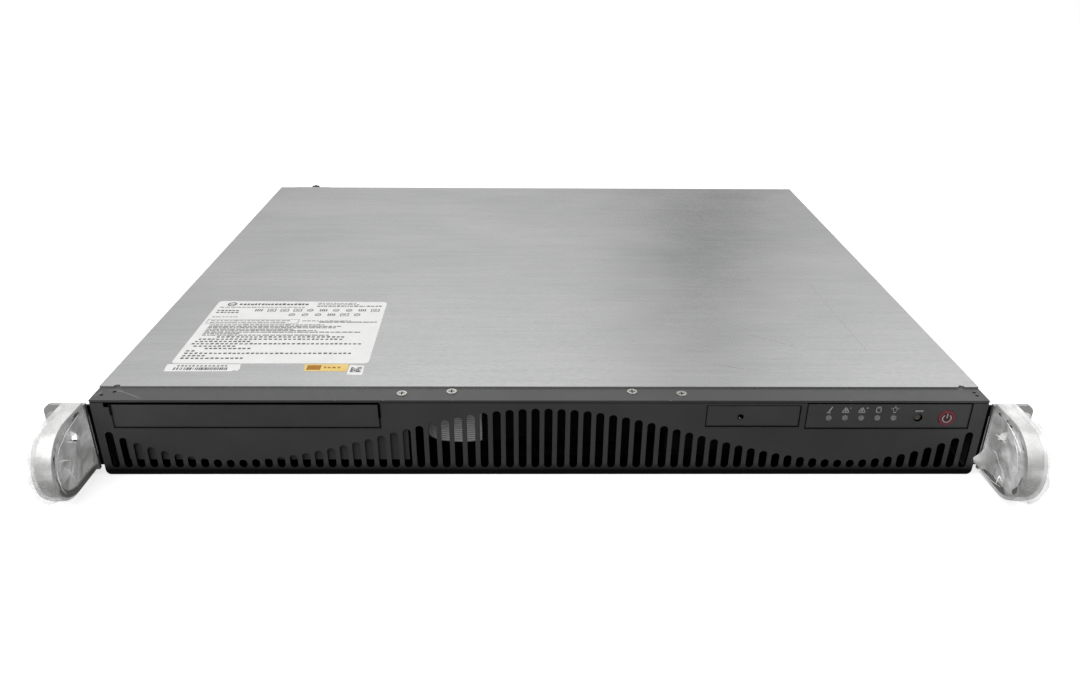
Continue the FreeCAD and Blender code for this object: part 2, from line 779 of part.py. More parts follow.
# Rack ears ------------------------------------------------------------------
def ear_bracket():
    body = new_body()
    back = "(%s + ear_sheet)" % FLANGE_FRONT
    inside = "(%s + ear_sheet)" % HALF
    outside = EAR_EDGE + " - flange_inset"
    section = outline(sketch(body, "XY_Plane", "ear_bottom + flange_inset"), [
        (HALF, FLANGE_FRONT),
        (outside, FLANGE_FRONT),
        (outside, back),
        (inside, back),
        (inside, "ear_leaf"),
        (HALF, "ear_leaf"),
    ])
    pad(body, section, "ear_height - flange_inset * 2")
    half, front, skin = val(HALF), val(FLANGE_FRONT), val("ear_sheet")
    round_edges(body, "ear_sheet * 1.4", edge_along("z", {"x": half, "y": front}))
    round_edges(body, "ear_sheet * 0.4", edge_along("z", {"x": half + skin, "y": front + skin}))
    edge = val(outside)
    low, high = val("ear_bottom + flange_inset"), val("ear_bottom + ear_height - flange_inset")
    round_edges(body, "ear_corner / 2", edge_along("y", {"x": edge, "z": low}, {"x": edge, "z": high}))
    slot = sketch(body, "XZ_Plane")
    rack_slot(slot)
    for up in ("-1", "1"):
        height = EAR_MIDDLE + " + %s * (ear_height / 2 - bar_sheet - 6)" % up
        circle(slot, BAR_MIDDLE, height, "screw_radius + screw_gap")
    pocket(body, slot, "ear_leaf", symmetric=True)
    relief = sketch(body, "YZ_Plane", HALF + " - 1")
    rectangle(relief, back + " + 6", "ear_leaf + 1", "groove_floor - 2", "body_height")
    rectangle(relief, back + " + 1", "ear_leaf + 1", "0", "ear_bottom + 3")
    pocket(body, relief, "ear_sheet + 2", reverse=True)
    screws = sketch(body, "YZ_Plane", HALF)
    for along, up in ear_screw_places():
        circle(screws, along, up, "screw_radius")
    pocket(body, screws, "ear_sheet * 2", reverse=True)
    right = node("ear_bracket_right", body)
    return right, mirrored("ear_bracket_left", right)


def rack_slot(item):
    reach = (val("rack_slot_length") - val("rack_slot_width")) / 2
    across, up = val(EAR_EDGE + " - rack_slot_inset"), val(EAR_MIDDLE)
    radius = val("rack_slot_width / 2")
    return stadium(item, Vector(across - reach, up, 0), Vector(across + reach, up, 0), radius)


def loop_outline(item, outer, inner, end):
    """A horseshoe in the side view: straight legs joined by a half circle in front."""
    leg, up = -val("handle_leg"), val(EAR_MIDDLE)
    end, outer, inner = val(end), val(outer), val(inner)
    corners = {}
    for name, radius in (("outer", outer), ("inner", inner)):
        corners[name] = [
            Vector(end, up + radius, 0),
            Vector(leg, up + radius, 0),
            Vector(leg - radius, up, 0),
            Vector(leg, up - radius, 0),
            Vector(end, up - radius, 0),
        ]
    a, b, c, d, e = corners["outer"]
    f, g, h, i, j = corners["inner"]
    item.addGeometry([
        Part.LineSegment(a, b), Part.Arc(b, c, d), Part.LineSegment(d, e), Part.LineSegment(e, j),
        Part.LineSegment(j, i), Part.Arc(i, h, g), Part.LineSegment(g, f), Part.LineSegment(f, a),
    ], False)
    return item


def handle():
    body = new_body()
    plate = sketch(body, "XZ_Plane")
    rectangle(plate, HALF + " + plate_inset", EAR_EDGE, "ear_bottom", "ear_bottom + ear_height")
    pad(body, plate, "plate_sheet", reverse=True)
    edge, low, high = val(EAR_EDGE), val("ear_bottom"), val("ear_bottom + ear_height")
    round_edges(body, "ear_corner", edge_along("y", {"x": edge, "z": low}, {"x": edge, "z": high}))
    loop = sketch(body, "YZ_Plane", HALF + " + handle_inset")
    loop_outline(loop, "ear_height / 2", "ear_height / 2 - bar_sheet", "0")
    pad(body, loop, "bar_width")
    inset, width = val(HALF + " + handle_inset"), val("bar_width")

    def long_edge(edge):
        box = edge.BoundBox
        in_front = box.YMax < 0.01 and box.YMin < -1
        return in_front and box.XLength < 0.01 and (near(box.XMin, inset) or near(box.XMin, inset + width))

    round_edges(body, "bar_round", long_edge)
    slot = sketch(body, "XZ_Plane")
    rack_slot(slot)
    pocket(body, slot, "plate_sheet * 3")
    right = node("handle_right", body)
    return right, mirrored("handle_left", right)


def handle_film():
    body = new_body()
    inner = "(%s + handle_inset - film_gap)" % HALF
    width = "(bar_width + film_gap * 2)"
    outside = "(ear_height / 2 + film_stand)"
    skin = sketch(body, "YZ_Plane", inner + " - film_sheet")
    loop_outline(skin, outside, "ear_height / 2 - bar_sheet", "-film_mouth")
    pad(body, skin, width + " + film_sheet * 2")
    hollow = sketch(body, "YZ_Plane", inner)
    loop_outline(hollow, outside + " - film_sheet", "ear_height / 2 - bar_sheet - 1", "0")
    pocket(body, hollow, width, reverse=True)
    right = node("handle_film_right", body)
    return right, mirrored("handle_film_left", right)


def ear_screws():
    """Screws through each bracket's leaf into the side wall."""
    parts = []
    for side in (-1, 1):
        for along, up in ear_screw_places():
            start = "%s - tray_sheet - 2" % HALF if side > 0 else "-(%s) - ear_sheet" % HALF
            shank = cylinder("x", start, along, up, "screw_radius", "ear_sheet + tray_sheet + 2")
            seat = "%s + ear_sheet" % HALF if side > 0 else "-(%s) - ear_sheet - 1.6" % HALF
            parts.append(fuse(shank, cylinder("x", seat, along, up, "screw_radius * 2", "1.6")))
    return node("ear_screws", group(*parts))


# Front panel fittings -------------------------------------------------------
def optical_bay_blank():
    """A moulded cover, open at the back, that closes the slim optical bay."""
    left, right = "(bay_left - blank_gap)", "(-bay_right - blank_gap)"
    sill, head = "(bay_sill + blank_gap)", "(%s - bay_head_gap)" % STRIP_UNDER
    shell = cut(
        block("-" + left, right, "0", "blank_depth", sill, head),
        block("-%s + blank_wall" % left, right + " - blank_wall", "blank_wall", "blank_depth + 1",
              sill + " + blank_wall", head + " - blank_wall"))
    return node("optical_bay_blank", shell)


def optical_bay_bracket():
    """Shelf over the left drive on two legs, with a lip behind the front slots."""
    left, right = "(-bay_left - blank_gap * 2)", "(-bay_right + blank_gap * 2)"
    start, end = "sole_depth", "(sole_depth + 112)"
    shelf_top = "(bay_sill + blank_gap + bracket_sheet)"
    shelf = block(left, right, start, end, shelf_top + " - bracket_sheet", shelf_top)
    legs = []
    for x0, x1 in ((left, left + " + bracket_sheet"), (right + " - bracket_sheet", right)):
        legs.append(block(x0, x1, start, end, "tray_sheet", STRIP_UNDER + " - 1"))
    foot = block(right + " - bracket_sheet", right + " + 8", start + " + 8", end, "tray_sheet",
                 "tray_sheet + bracket_sheet")
    lip_front = "(panel_sheet + lip_setback)"
    lip = block(left + " + 4", right + " + 12", lip_front, lip_front + " + bracket_sheet", "lip_low",
                "bay_sill - bracket_sheet")
    tongue = block(left + " + 4", right + " - 1", lip_front, start + " + 1", "bay_sill - bracket_sheet",
                   "bay_sill")
    step = block(left + " + 4", right + " - 1", start, start + " + bracket_sheet",
                 "bay_sill - bracket_sheet", shelf_top)
    return node("optical_bay_bracket", fuse(shelf, *legs, foot, lip, tongue, step))


def panel_insert(left, width, sill, height):
    """A plate flush in a panel opening, with a rim that bears on the panel's back."""
    face = block(left + " + blank_gap", "%s + %s - blank_gap" % (left, width), "0", "panel_sheet",
                 sill + " + blank_gap", "%s + %s - blank_gap" % (sill, height))
    rim = block(left + " - 1.2", "%s + %s + 1.2" % (left, width), "panel_sheet", "panel_sheet + 1",
                sill + " - 1", "%s + %s + 0.3" % (sill, height))
    return face, rim


def port_bay_blank():
    face, rim = panel_insert("port_left", "port_width", "port_sill", "port_height")
    hole = cylinder("y", PORT_SCREW, "-1", PORT_MIDDLE, "screw_radius + screw_gap", "6")
    return node("port_bay_blank", cut(fuse(face, rim), hole))


def port_bay_screw():
    shank = cylinder("y", PORT_SCREW, "panel_sheet + 0.2", PORT_MIDDLE, "screw_radius", "6")
    nut = cylinder("y", PORT_SCREW, "panel_sheet + 1", PORT_MIDDLE, "screw_radius * 2", "2")
    return node("port_bay_screw", fuse(shank, nut))


def control_panel_plate():
    face, rim = panel_insert("control_left", "control_width", "control_sill", "control_height")
    holes = []
    for index in range(5):
        holes.append(cylinder("y", "lens_first + %d * lens_pitch" % index, "-1", "button_height",
                              "lens_radius + screw_gap", "6"))
    holes.append(cylinder("y", "reset_across", "-1", "button_height", "reset_hole", "6"))
    holes.append(cylinder("y", "power_across", "-1", "button_height", "power_radius + button_gap", "6"))
    posts = []
    for across in (CONTROL_BOARD_LEFT + " + 3", CONTROL_BOARD_RIGHT + " - 3"):
        posts.append(cylinder("y", across, "panel_sheet", "button_height + 4", "2",
                              "control_board_back - panel_sheet"))
    return node("control_panel_plate", fuse(cut(fuse(face, rim), *holes), *posts))


def status_lenses():
    """Five light pipes from the panel's face to the control board."""
    pipes = []
    for index in range(5):
        across = "lens_first + %d * lens_pitch" % index
        pipes.append(cylinder("y", across, "-lens_proud", "button_height", "lens_radius",
                              "control_board_back + lens_proud"))
    return node("status_lenses", group(*pipes))


def control_board():
    """Board behind the control panel, with the cable header and two push switches."""
    plate = block(CONTROL_BOARD_LEFT, CONTROL_BOARD_RIGHT, "control_board_back", CONTROL_BOARD_REAR,
                  "ribbon_bottom - 1", "control_sill + control_height - 0.6")
    header = block(RIBBON_PLUG + " - 3", RIBBON_PLUG + " + 3", CONTROL_BOARD_REAR,
                   CONTROL_BOARD_REAR + " + header_depth",
                   "ribbon_bottom - 0.5", "ribbon_bottom + ribbon_height + 0.5")
    switches = []
    for across in ("reset_across", "power_across"):
        front = "(control_board_back - switch_depth)"
        switches.append(block(across + " - 3", across + " + 3", front, "control_board_back",
                              "button_height - 3", "button_height + 3"))
        switches.append(cylinder("y", across, front + " - switch_plunger", "button_height", "1.5",
                                 "switch_plunger"))
    return node("control_board", fuse(plate, header, *switches))


def button(label, across, radius, face):
    """A cap with a collar behind the plate and a stem that reaches the switch."""
    plate_back = "(panel_sheet + 1)"
    stem_end = "(control_board_back - switch_depth - switch_plunger - %s)" % SWITCH_TRAVEL
    cap_depth = "%s + button_gap - (%s)" % (plate_back, face)
    cap = cylinder("y", across, face, "button_height", radius, cap_depth)
    collar = cylinder("y", across, plate_back + " + button_gap", "button_height", radius + " + 1", "0.8")
    stem = cylinder("y", across, plate_back, "button_height", "1.6", "%s - %s" % (stem_end, plate_back))
    return node(label, fuse(cap, collar, stem))


def power_button():
    return button("power_button", "power_across", "power_radius", "-power_proud")


def reset_button():
    return button("reset_button", "reset_across", "reset_radius", "reset_recess")


# Power supply ---------------------------------------------------------------
def power_supply_case():
    left, right = "-psu_left", "-%s" % PSU_RIGHT
    top = "(tray_sheet + psu_height)"
    before = REAR_INSIDE + " - psu_wall - 1"
    inlet = block(INLET_LEFT + " - seat_gap", INLET_RIGHT + " + seat_gap", before, REAR_INSIDE + " + 1",
                  INLET_LOW + " - seat_gap", INLET_HIGH + " + seat_gap")
    fan = cylinder("y", "-psu_fan_across", before, FAN_HEIGHT, "psu_fan_size / 2 - fan_gap", "psu_wall + 2")
    screw_room = cylinder("y", "-thumb_across", before, "thumb_height", "screw_radius + 0.5", "psu_wall + 2")
    vents = []
    for index in range(9):
        across = "%s + (%d + 1) * psu_vent_pitch" % (left, index)
        vents.append(block(across, across + " + 4", PSU_FRONT + " - 1", PSU_FRONT + " + psu_wall + 1",
                           "psu_height / 4", "psu_height * 0.85"))
    shell = cut(
        block(left, right, PSU_FRONT, REAR_INSIDE, "tray_sheet", top),
        block(left + " + psu_wall", right + " - psu_wall", PSU_FRONT + " + psu_wall",
              REAR_INSIDE + " - psu_wall", "tray_sheet + psu_wall", top + " - psu_wall"),
        inlet, fan, screw_room, *vents)
    return node("power_supply_case", shell)


def power_supply_fan_frame():
    rear = "(%s - psu_wall)" % REAR_INSIDE
    front = "(%s - psu_fan_depth)" % rear
    size = "psu_height / 2 - psu_wall"
    frame = cut(
        block("-psu_fan_across - (%s)" % size, "-psu_fan_across + %s" % size, front, rear,
              FAN_HEIGHT + " - (%s)" % size, FAN_HEIGHT + " + %s" % size),
        cylinder("y", "-psu_fan_across", front + " - 1", FAN_HEIGHT, "psu_fan_size / 2 - fan_gap",
                 "psu_fan_depth + 2"))
    motor = cylinder("y", "-psu_fan_across", front, FAN_HEIGHT, "psu_fan_size / 4", "2")
    shaft = cylinder("y", "-psu_fan_across", front, FAN_HEIGHT, "shaft_radius", "psu_fan_depth - 4")
    struts = []
    for index in range(3):
        strut = box("0", "-1", "0", "psu_fan_size / 2", "2", "2")
        strut.Placement = Placement(Vector(), Rotation(Vector(1, 0, 0), 90))
        place(strut, "0", "0", "0")
        turned = doc.addObject("Part::Compound", "Strut")
        turned.Links = [strut]
        turned.Placement = Placement(Vector(), Rotation(Vector(0, 1, 0), 30 + 120 * index))
        struts.append(place(turned, "-psu_fan_across", front + " + 2", FAN_HEIGHT))
    return node("power_supply_fan_frame", fuse(frame, motor, shaft, *struts))


def power_supply_fan():
    """Hub and twisted blades, each lofted from root to tip and repeated round the shaft."""
    rear = "(%s - psu_wall)" % REAR_INSIDE
    start, depth = val(rear + " - psu_fan_depth + 2.6"), val("psu_fan_depth - 5.2")
    hub_radius, tip_radius = val("psu_fan_size / 4"), val("psu_fan_size / 2 - fan_gap * 2")
    centre = Vector(-val("psu_fan_across"), 0, val(FAN_HEIGHT))
    hub = Part.makeCylinder(hub_radius, depth, centre + Vector(0, start, 0), Vector(0, 1, 0))
    bore = Part.makeCylinder(val("shaft_radius + shaft_gap"), depth, centre + Vector(0, start - 1, 0),
                             Vector(0, 1, 0))
    blades = []
    for index in range(7):
        sections = []
        for radius, lean in ((hub_radius - 0.5, 50), (tip_radius, 28)):
            half_chord, skin = depth * 0.42, 0.5
            angle = math.radians(lean)
            along = Vector(math.cos(angle), math.sin(angle), 0) * half_chord
            across = Vector(-math.sin(angle), math.cos(angle), 0) * skin
            middle = Vector(0, start + depth / 2, radius)
            corners = [middle + along + across, middle - along + across, middle - along - across,
                       middle + along - across]
            sections.append(Part.makePolygon(corners + corners[:1]))
        blade = Part.makeLoft(sections, True, True)
        blade.rotate(Vector(), Vector(0, 1, 0), 360 / 7 * index)
        blade.translate(Vector(centre.x, 0, centre.z))
        blades.append(blade)
    item = doc.addObject("Part::Feature", "Rotor")
    rotor = hub.multiFuse(blades)
    reach = Part.makeCylinder(tip_radius, depth, centre + Vector(0, start, 0), Vector(0, 1, 0))
    item.Shape = rotor.common(reach).cut(bore).removeSplitter()
    return node("power_supply_fan", item)


def fan_guard():
    """Rings and two crossed bars outside the fan's opening."""
    rings = []
    for index in range(3):
        radius = "(psu_fan_size / 2 - 0.5 - %d * guard_pitch)" % index
        outer = cylinder("y", "-psu_fan_across", "body_depth", FAN_HEIGHT, radius, "guard_wire")
        inner = cylinder("y", "-psu_fan_across", "body_depth - 1", FAN_HEIGHT, radius + " - guard_wire",
                         "guard_wire + 2")
        rings.append(cut(outer, inner))
    bars = []
    for wide, tall in (("guard_wire / 2", "psu_fan_size / 2"), ("psu_fan_size / 2", "guard_wire / 2")):
        bars.append(block("-psu_fan_across - " + wide, "-psu_fan_across + " + wide, "body_depth",
                          "body_depth + guard_wire", FAN_HEIGHT + " - " + tall, FAN_HEIGHT + " + " + tall))
    return node("fan_guard", fuse(*rings, *bars))


def power_inlet():
    """Recessed three-pin appliance inlet with its flange on the rear panel."""
    front, rear = "(body_depth - inlet_depth)", "(body_depth + inlet_flange)"
    shell = fuse(
        block(INLET_LEFT, INLET_RIGHT, front, rear, INLET_LOW, INLET_HIGH),
        block(INLET_LEFT + " - inlet_rim", INLET_RIGHT + " + inlet_rim", "body_depth", rear,
              INLET_LOW + " - inlet_rim", INLET_HIGH + " + inlet_rim"))
    recess = block(INLET_LEFT + " + inlet_wall", INLET_RIGHT + " - inlet_wall", front + " + 2", rear + " + 1",
                   INLET_LOW + " + inlet_wall", INLET_HIGH + " - inlet_wall")
    pins = []
    for across, up in (("-7", "-2"), ("0", "2"), ("7", "-2")):
        x, z = "(-thumb_across + %s)" % across, "(inlet_centre + %s)" % up
        pins.append(block(x + " - 1", x + " + 1", front, rear + " - 3", z + " - 2", z + " + 2"))
    return node("power_inlet", fuse(cut(shell, recess), *pins))


def power_supply_circuit():
    """Circuit board on four feet, with its transformer, capacitors and heat sinks."""
    left, right = "(-psu_left + 5)", "(-%s - 5)" % PSU_RIGHT
    front, rear = PSU_FRONT + " + 12", "(%s - psu_fan_depth - 14)" % REAR_INSIDE
    floor = "(tray_sheet + psu_wall)"
    top = "(%s + 4 + board_sheet)" % floor
    parts = [block(left, right, front, rear, top + " - board_sheet", top)]
    for x in (left + " + 5", right + " - 5"):
        for y in (front + " + 6", rear + " - 6"):
            parts.append(cylinder("z", x, y, floor, "2.5", "4"))
    core_left, core_front = left + " + 34", front + " + 60"
    parts.append(block(core_left, core_left + " + core_size", core_front, core_front + " + core_size", top,
                       top + " + core_height"))
    for x in (left + " + 20", right + " - 14"):
        parts.append(block(x, x + " + sink_sheet", front + " + 20", rear + " - 20", top,
                           top + " + sink_plate"))
    for index in range(4):
        parts.append(cylinder("z", left + " + 44", front + " + %d * can_pitch" % (index + 1), top,
                              "can_radius", "can_height"))
    return node("power_supply_circuit", fuse(*parts))


# Blower ---------------------------------------------------------------------
def blower_bracket():
    """Plate screwed under the front strip, with two tabs on the blower's front."""
    plate = block("-strip_screw_outer - 7", "strip_screw_outer + 7", "panel_sheet", "blower_front",
                  STRIP_UNDER + " - tray_sheet", STRIP_UNDER)
    tabs = []
    for x in ("-45", "30"):
        tabs.append(block(x, x + " + 15", "blower_front - tray_sheet", "blower_front", "30", STRIP_UNDER))
    holes = [cylinder("z", x, y, STRIP_UNDER + " - 3", "screw_radius + screw_gap", "6")
             for x, y in strip_screw_places()]
    return node("blower_bracket", cut(fuse(plate, *tabs), *holes))


def blower_housing():
    body = new_body()
    half = "blower_size / 2"
    face = sketch(body, "XY_Plane", BLOWER_UNDER)
    rectangle(face, "-" + half, half, "blower_front", "blower_front + blower_size")
    pad(body, face, "blower_height")
    centre = BLOWER_MIDDLE
    room = "(impeller_radius + 5)"
    scroll = sketch(body, "XY_Plane", BLOWER_UNDER + " + blower_wall")
    scroll_outline(scroll)
    pocket(body, scroll, "blower_height - blower_wall * 2", reverse=True)
    eyes = sketch(body, "XY_Plane", BLOWER_UNDER + " + blower_height")
    circle(eyes, "0", centre, "inlet_radius")
    pocket(body, eyes, "blower_wall * 2")
    lower = sketch(body, "XY_Plane", BLOWER_UNDER)
    for index in range(4):
        window(lower, math.radians(index * 90), "motor_radius + 3", "inlet_radius")
    pocket(body, lower, "blower_wall * 2", symmetric=True)
    pin = sketch(body, "XY_Plane", BLOWER_UNDER)
    circle(pin, "0", centre, "shaft_radius")
    pad(body, pin, "blower_height / 2")
    feet = sketch(body, "XY_Plane", "tray_sheet")
    for across in ("-", ""):
        for along in ("blower_front + 5", "blower_front + blower_size - 5"):
            circle(feet, "%s(blower_size / 2 - 5)" % across, along, "4")
    pad(body, feet, "blower_foot")
    return node("blower_housing", body)


def scroll_outline(item):
    """Scroll chamber: three arcs that widen towards the outlet at the rear."""
    centre = Vector(0, val(BLOWER_MIDDLE), 0)
    tight, wide = val("impeller_radius") + 1.5, val("blower_size / 2 - blower_wall")
    middle = (tight + wide) / 2
    rear = val("blower_front + blower_size") + 1
    start = centre + Vector(0, tight, 0)
    side = centre + Vector(-middle, 0, 0)
    front = centre + Vector(0, -wide, 0)
    flank = centre + Vector(wide, 0, 0)
    diagonal = math.sqrt(0.5)
    item.addGeometry([
        Part.Arc(start, centre + Vector(-1, 1, 0) * (diagonal * (tight + middle) / 2), side),
        Part.Arc(side, centre + Vector(-1, -1, 0) * (diagonal * (middle + wide) / 2), front),
        Part.Arc(front, centre + Vector(1, -1, 0) * (diagonal * wide), flank),
        Part.LineSegment(flank, Vector(flank.x, rear, 0)),
        Part.LineSegment(Vector(flank.x, rear, 0), Vector(0, rear, 0)),
        Part.LineSegment(Vector(0, rear, 0), start),
    ], False)
    return item


def window(item, start, inner, outer):
    """One of four openings round the blower's motor, between its spokes."""
    centre = Vector(0, val(BLOWER_MIDDLE), 0)
    inner, outer = val(inner), val(outer)

    def spot(radius, angle):
        return centre + Vector(math.cos(angle), math.sin(angle), 0) * radius

    low, high = start + 0.12, start + math.pi / 2 - 0.12
    middle = (low + high) / 2
    item.addGeometry([
        Part.Arc(spot(inner, low), spot(inner, middle), spot(inner, high)),
        Part.LineSegment(spot(inner, high), spot(outer, high)),
        Part.Arc(spot(outer, high), spot(outer, middle), spot(outer, low)),
        Part.LineSegment(spot(outer, low), spot(inner, low)),
    ], False)
    return item


def blower_impeller():
    """Drum with forward-curved blades between a base disc and a top ring."""
    low = "(%s + blower_wall + 1)" % BLOWER_UNDER
    tall = "(blower_height - blower_wall * 2 - 2)"
    body = new_body()
    base = sketch(body, "XY_Plane", low)
    circle(base, "0", BLOWER_MIDDLE, "impeller_radius")
    pad(body, base, "1.5")
    hub = sketch(body, "XY_Plane", low)
    circle(hub, "0", BLOWER_MIDDLE, "motor_radius")
    pad(body, hub, tall + " * 0.8")
    ring = sketch(body, "XY_Plane", "%s + %s - 1.5" % (low, tall))
    circle(ring, "0", BLOWER_MIDDLE, "impeller_radius")
    circle(ring, "0", BLOWER_MIDDLE, "impeller_radius - 3")
    pad(body, ring, "1.5")
    bore = sketch(body, "XY_Plane", low)
    circle(bore, "0", BLOWER_MIDDLE, "shaft_radius + shaft_gap")
    pocket(body, bore, "blower_height / 2", reverse=True)
    blade = sketch(body, "XY_Plane", low)
    blade_outline(blade)
    first = pad(body, blade, tall)
    centre_axis = sketch(body, "XY_Plane", low)
    centre_axis.AttachmentOffset = Placement(Vector(0, val(BLOWER_MIDDLE), val(low)), Rotation())
    bind(centre_axis, AttachmentOffset__Base__y=BLOWER_MIDDLE, AttachmentOffset__Base__z=low)
    doc.recompute()
    ring_of = body.newObject("PartDesign::PolarPattern", "Blades")
    ring_of.Originals = [first]
    ring_of.Axis = (centre_axis, ["N_Axis"])
    ring_of.Angle = 360
    ring_of.Occurrences = int(val("impeller_blades"))
    body.Tip = ring_of
    return node("blower_impeller", body)


def blade_outline(item):
    """A blade's crescent section, hollow side forward."""
    centre = Vector(0, val(BLOWER_MIDDLE), 0)
    outer, inner = val("impeller_radius") - 0.1, val("impeller_radius") * 0.8

    def spot(radius, degrees):
        angle = math.radians(degrees)
        return centre + Vector(math.cos(angle), math.sin(angle), 0) * radius

    middle = (outer + inner) / 2
    item.addGeometry([
        Part.Arc(spot(inner, 0), spot(middle, -1.5), spot(outer, 3)),
        Part.LineSegment(spot(outer, 3), spot(outer, 4.2)),
        Part.Arc(spot(outer, 4.2), spot(middle, 0.3), spot(inner, 1.6)),
        Part.LineSegment(spot(inner, 1.6), spot(inner, 0)),
    ], False)
    return item


def air_shroud():
    """Duct from the blower's outlet to the processor's heat sink."""
    front, rear = BLOWER_REAR, SINK_FRONT
    right = "(blower_size / 2)"
    wide_left, wide_right = "(sink_across - sink_size / 2)", "(sink_across + sink_size / 2)"
    body = new_body()
    outer = outline(sketch(body, "XY_Plane", BOARD_TOP), [
        ("-shroud_wall", front), (right, front), (wide_right, rear), (wide_left, rear)])
    pad(body, outer, "shroud_top - %s" % BOARD_TOP)
    inner = outline(sketch(body, "XY_Plane", BOARD_TOP), [
        ("0", front + " - 1"), (right + " - shroud_wall", front + " - 1"),
        (wide_right + " - shroud_wall", rear + " + 1"), (wide_left + " + shroud_wall", rear + " + 1")])
    pocket(body, inner, "shroud_top - shroud_wall - %s" % BOARD_TOP, reverse=True)
    return node("air_shroud", body)


# Motherboard ----------------------------------------------------------------
def board_hole_places():
    across = [
        "(board_hole_side - board_left)",
        "(board_width / 2 - board_left)",
        "(%s - board_hole_side)" % BOARD_RIGHT,
    ]
    along = [
        "(%s + board_hole_front)" % BOARD_FRONT,
        "((%s + %s) / 2 + board_hole_middle)" % (BOARD_FRONT, BOARD_REAR),
        "(%s - board_hole_rear)" % BOARD_REAR,
    ]
    return [(x, y) for x in across for y in along if (x, y) != (across[1], along[0])]


def motherboard():
    body = new_body()
    face = sketch(body, "XY_Plane", BOARD_UNDER)
    rectangle(face, "-board_left", BOARD_RIGHT, BOARD_FRONT, BOARD_REAR)
    pad(body, face, "board_sheet")
    holes = sketch(body, "XY_Plane", BOARD_TOP)
    for across, along in board_hole_places():
        circle(holes, across, along, "screw_radius + screw_gap")
    pocket(body, holes, "board_sheet * 2")
    return node("motherboard", body)


def board_standoffs():
    posts = []
    for across, along in board_hole_places():
        post = doc.addObject("Part::Prism", "Post")
        post.Polygon = 6
        bind(post, Circumradius="3", Height="standoff")
        place(post, across, along, "tray_sheet")
        thread = cylinder("z", across, along, "tray_sheet + 1", "screw_radius + screw_gap", "standoff")
        posts.append(cut(post, thread))
    return node("board_standoffs", group(*posts))


def board_screws():
    parts = []
    for across, along in board_hole_places():
        shank = cylinder("z", across, along, BOARD_TOP + " - 5", "screw_radius", "5")
        parts.append(fuse(shank, cylinder("z", across, along, BOARD_TOP, "2.8", "2")))
    return node("board_screws", group(*parts))


def processor():
    """Socket and processor under the heat sink."""
    def plate(half, top):
        return block("sink_across - " + half, "sink_across + " + half, SINK_MIDDLE + " - " + half,
                     SINK_MIDDLE + " + " + half, BOARD_TOP, top)

    base = plate("cpu_size / 2", BOARD_TOP + " + cpu_height - cpu_step")
    lid = plate("(cpu_size / 2 - cpu_margin)", BOARD_TOP + " + cpu_height")
    return node("processor", fuse(base, lid))


SINK_UNDER = "(" + BOARD_TOP + " + cpu_height)"


def processor_heatsink():
    """Base plate with a row of upright fins along the air flow."""
    left, front, rear = "(sink_across - sink_size / 2)", SINK_FRONT, SINK_REAR
    body = new_body()
    base = sketch(body, "XY_Plane", SINK_UNDER)
    rectangle(base, left, left + " + sink_size", front, rear)
    pad(body, base, "sink_base")
    fin = sketch(body, "XY_Plane", SINK_UNDER + " + sink_base")
    rectangle(fin, left, left + " + fin_sheet", front, rear)
    first = pad(body, fin, "sink_top - %s - sink_base" % SINK_UNDER)
    doc.recompute()
    row = body.newObject("PartDesign::LinearPattern", "Fins")
    row.Originals = [first]
    row.Direction = (next(f for f in body.Origin.OriginFeatures if f.Role == "X_Axis"), [""])
    count = int((val("sink_size") - val("fin_sheet")) / val("fin_pitch")) + 1
    bind(row, Length="fin_pitch * %d" % (count - 1))
    row.Occurrences = count
    body.Tip = row
    corners = sketch(body, "XY_Plane", "sink_top")
    for x, y in sink_screw_places():
        rectangle(corners, x + " - sink_notch", x + " + sink_notch", y + " - sink_notch",
                  y + " + sink_notch")
    pocket(body, corners, "sink_top - %s - sink_base" % SINK_UNDER)
    holes = sketch(body, "XY_Plane", SINK_UNDER + " + sink_base")
    for x, y in sink_screw_places():
        circle(holes, x, y, "screw_radius + screw_gap")
    pocket(body, holes, "sink_base * 2", symmetric=True)
    return node("processor_heatsink", body)


def sink_screw_places():
    inset = "(sink_size / 2 - sink_screw_inset)"
    return [("(sink_across %s %s)" % (a, inset), "(%s %s %s)" % (SINK_MIDDLE, b, inset))
            for a in "-+" for b in "-+"]


def heatsink_screws():
    parts = []
    for x, y in sink_screw_places():
        seat = "(%s + sink_base)" % SINK_UNDER
        shank = cylinder("z", x, y, BOARD_TOP, "screw_radius", "%s - %s" % (seat, BOARD_TOP))
        spring = cylinder("z", x, y, seat, "screw_radius * 2", "spring_height")
        head = cylinder("z", x, y, seat + " + spring_height", "screw_radius * 2 + 1", "2")
        parts.append(fuse(shank, spring, head))
    return node("heatsink_screws", group(*parts))


def chipset_heatsink():
    x, y = "(-board_left + 34)", "(%s + 96)" % BOARD_FRONT
    rear = y + " + chipset_size"
    base = block(x, x + " + chipset_size", y, rear, BOARD_TOP, BOARD_TOP + " + 4")
    fins = []
    for index in range(8):
        start = "(%s + %d * (chipset_size - chipset_fin) / 7)" % (x, index)
        fins.append(block(start, start + " + chipset_fin", y, rear, BOARD_TOP,
                          BOARD_TOP + " + chipset_height"))
    return node("chipset_heatsink", fuse(base, *fins))


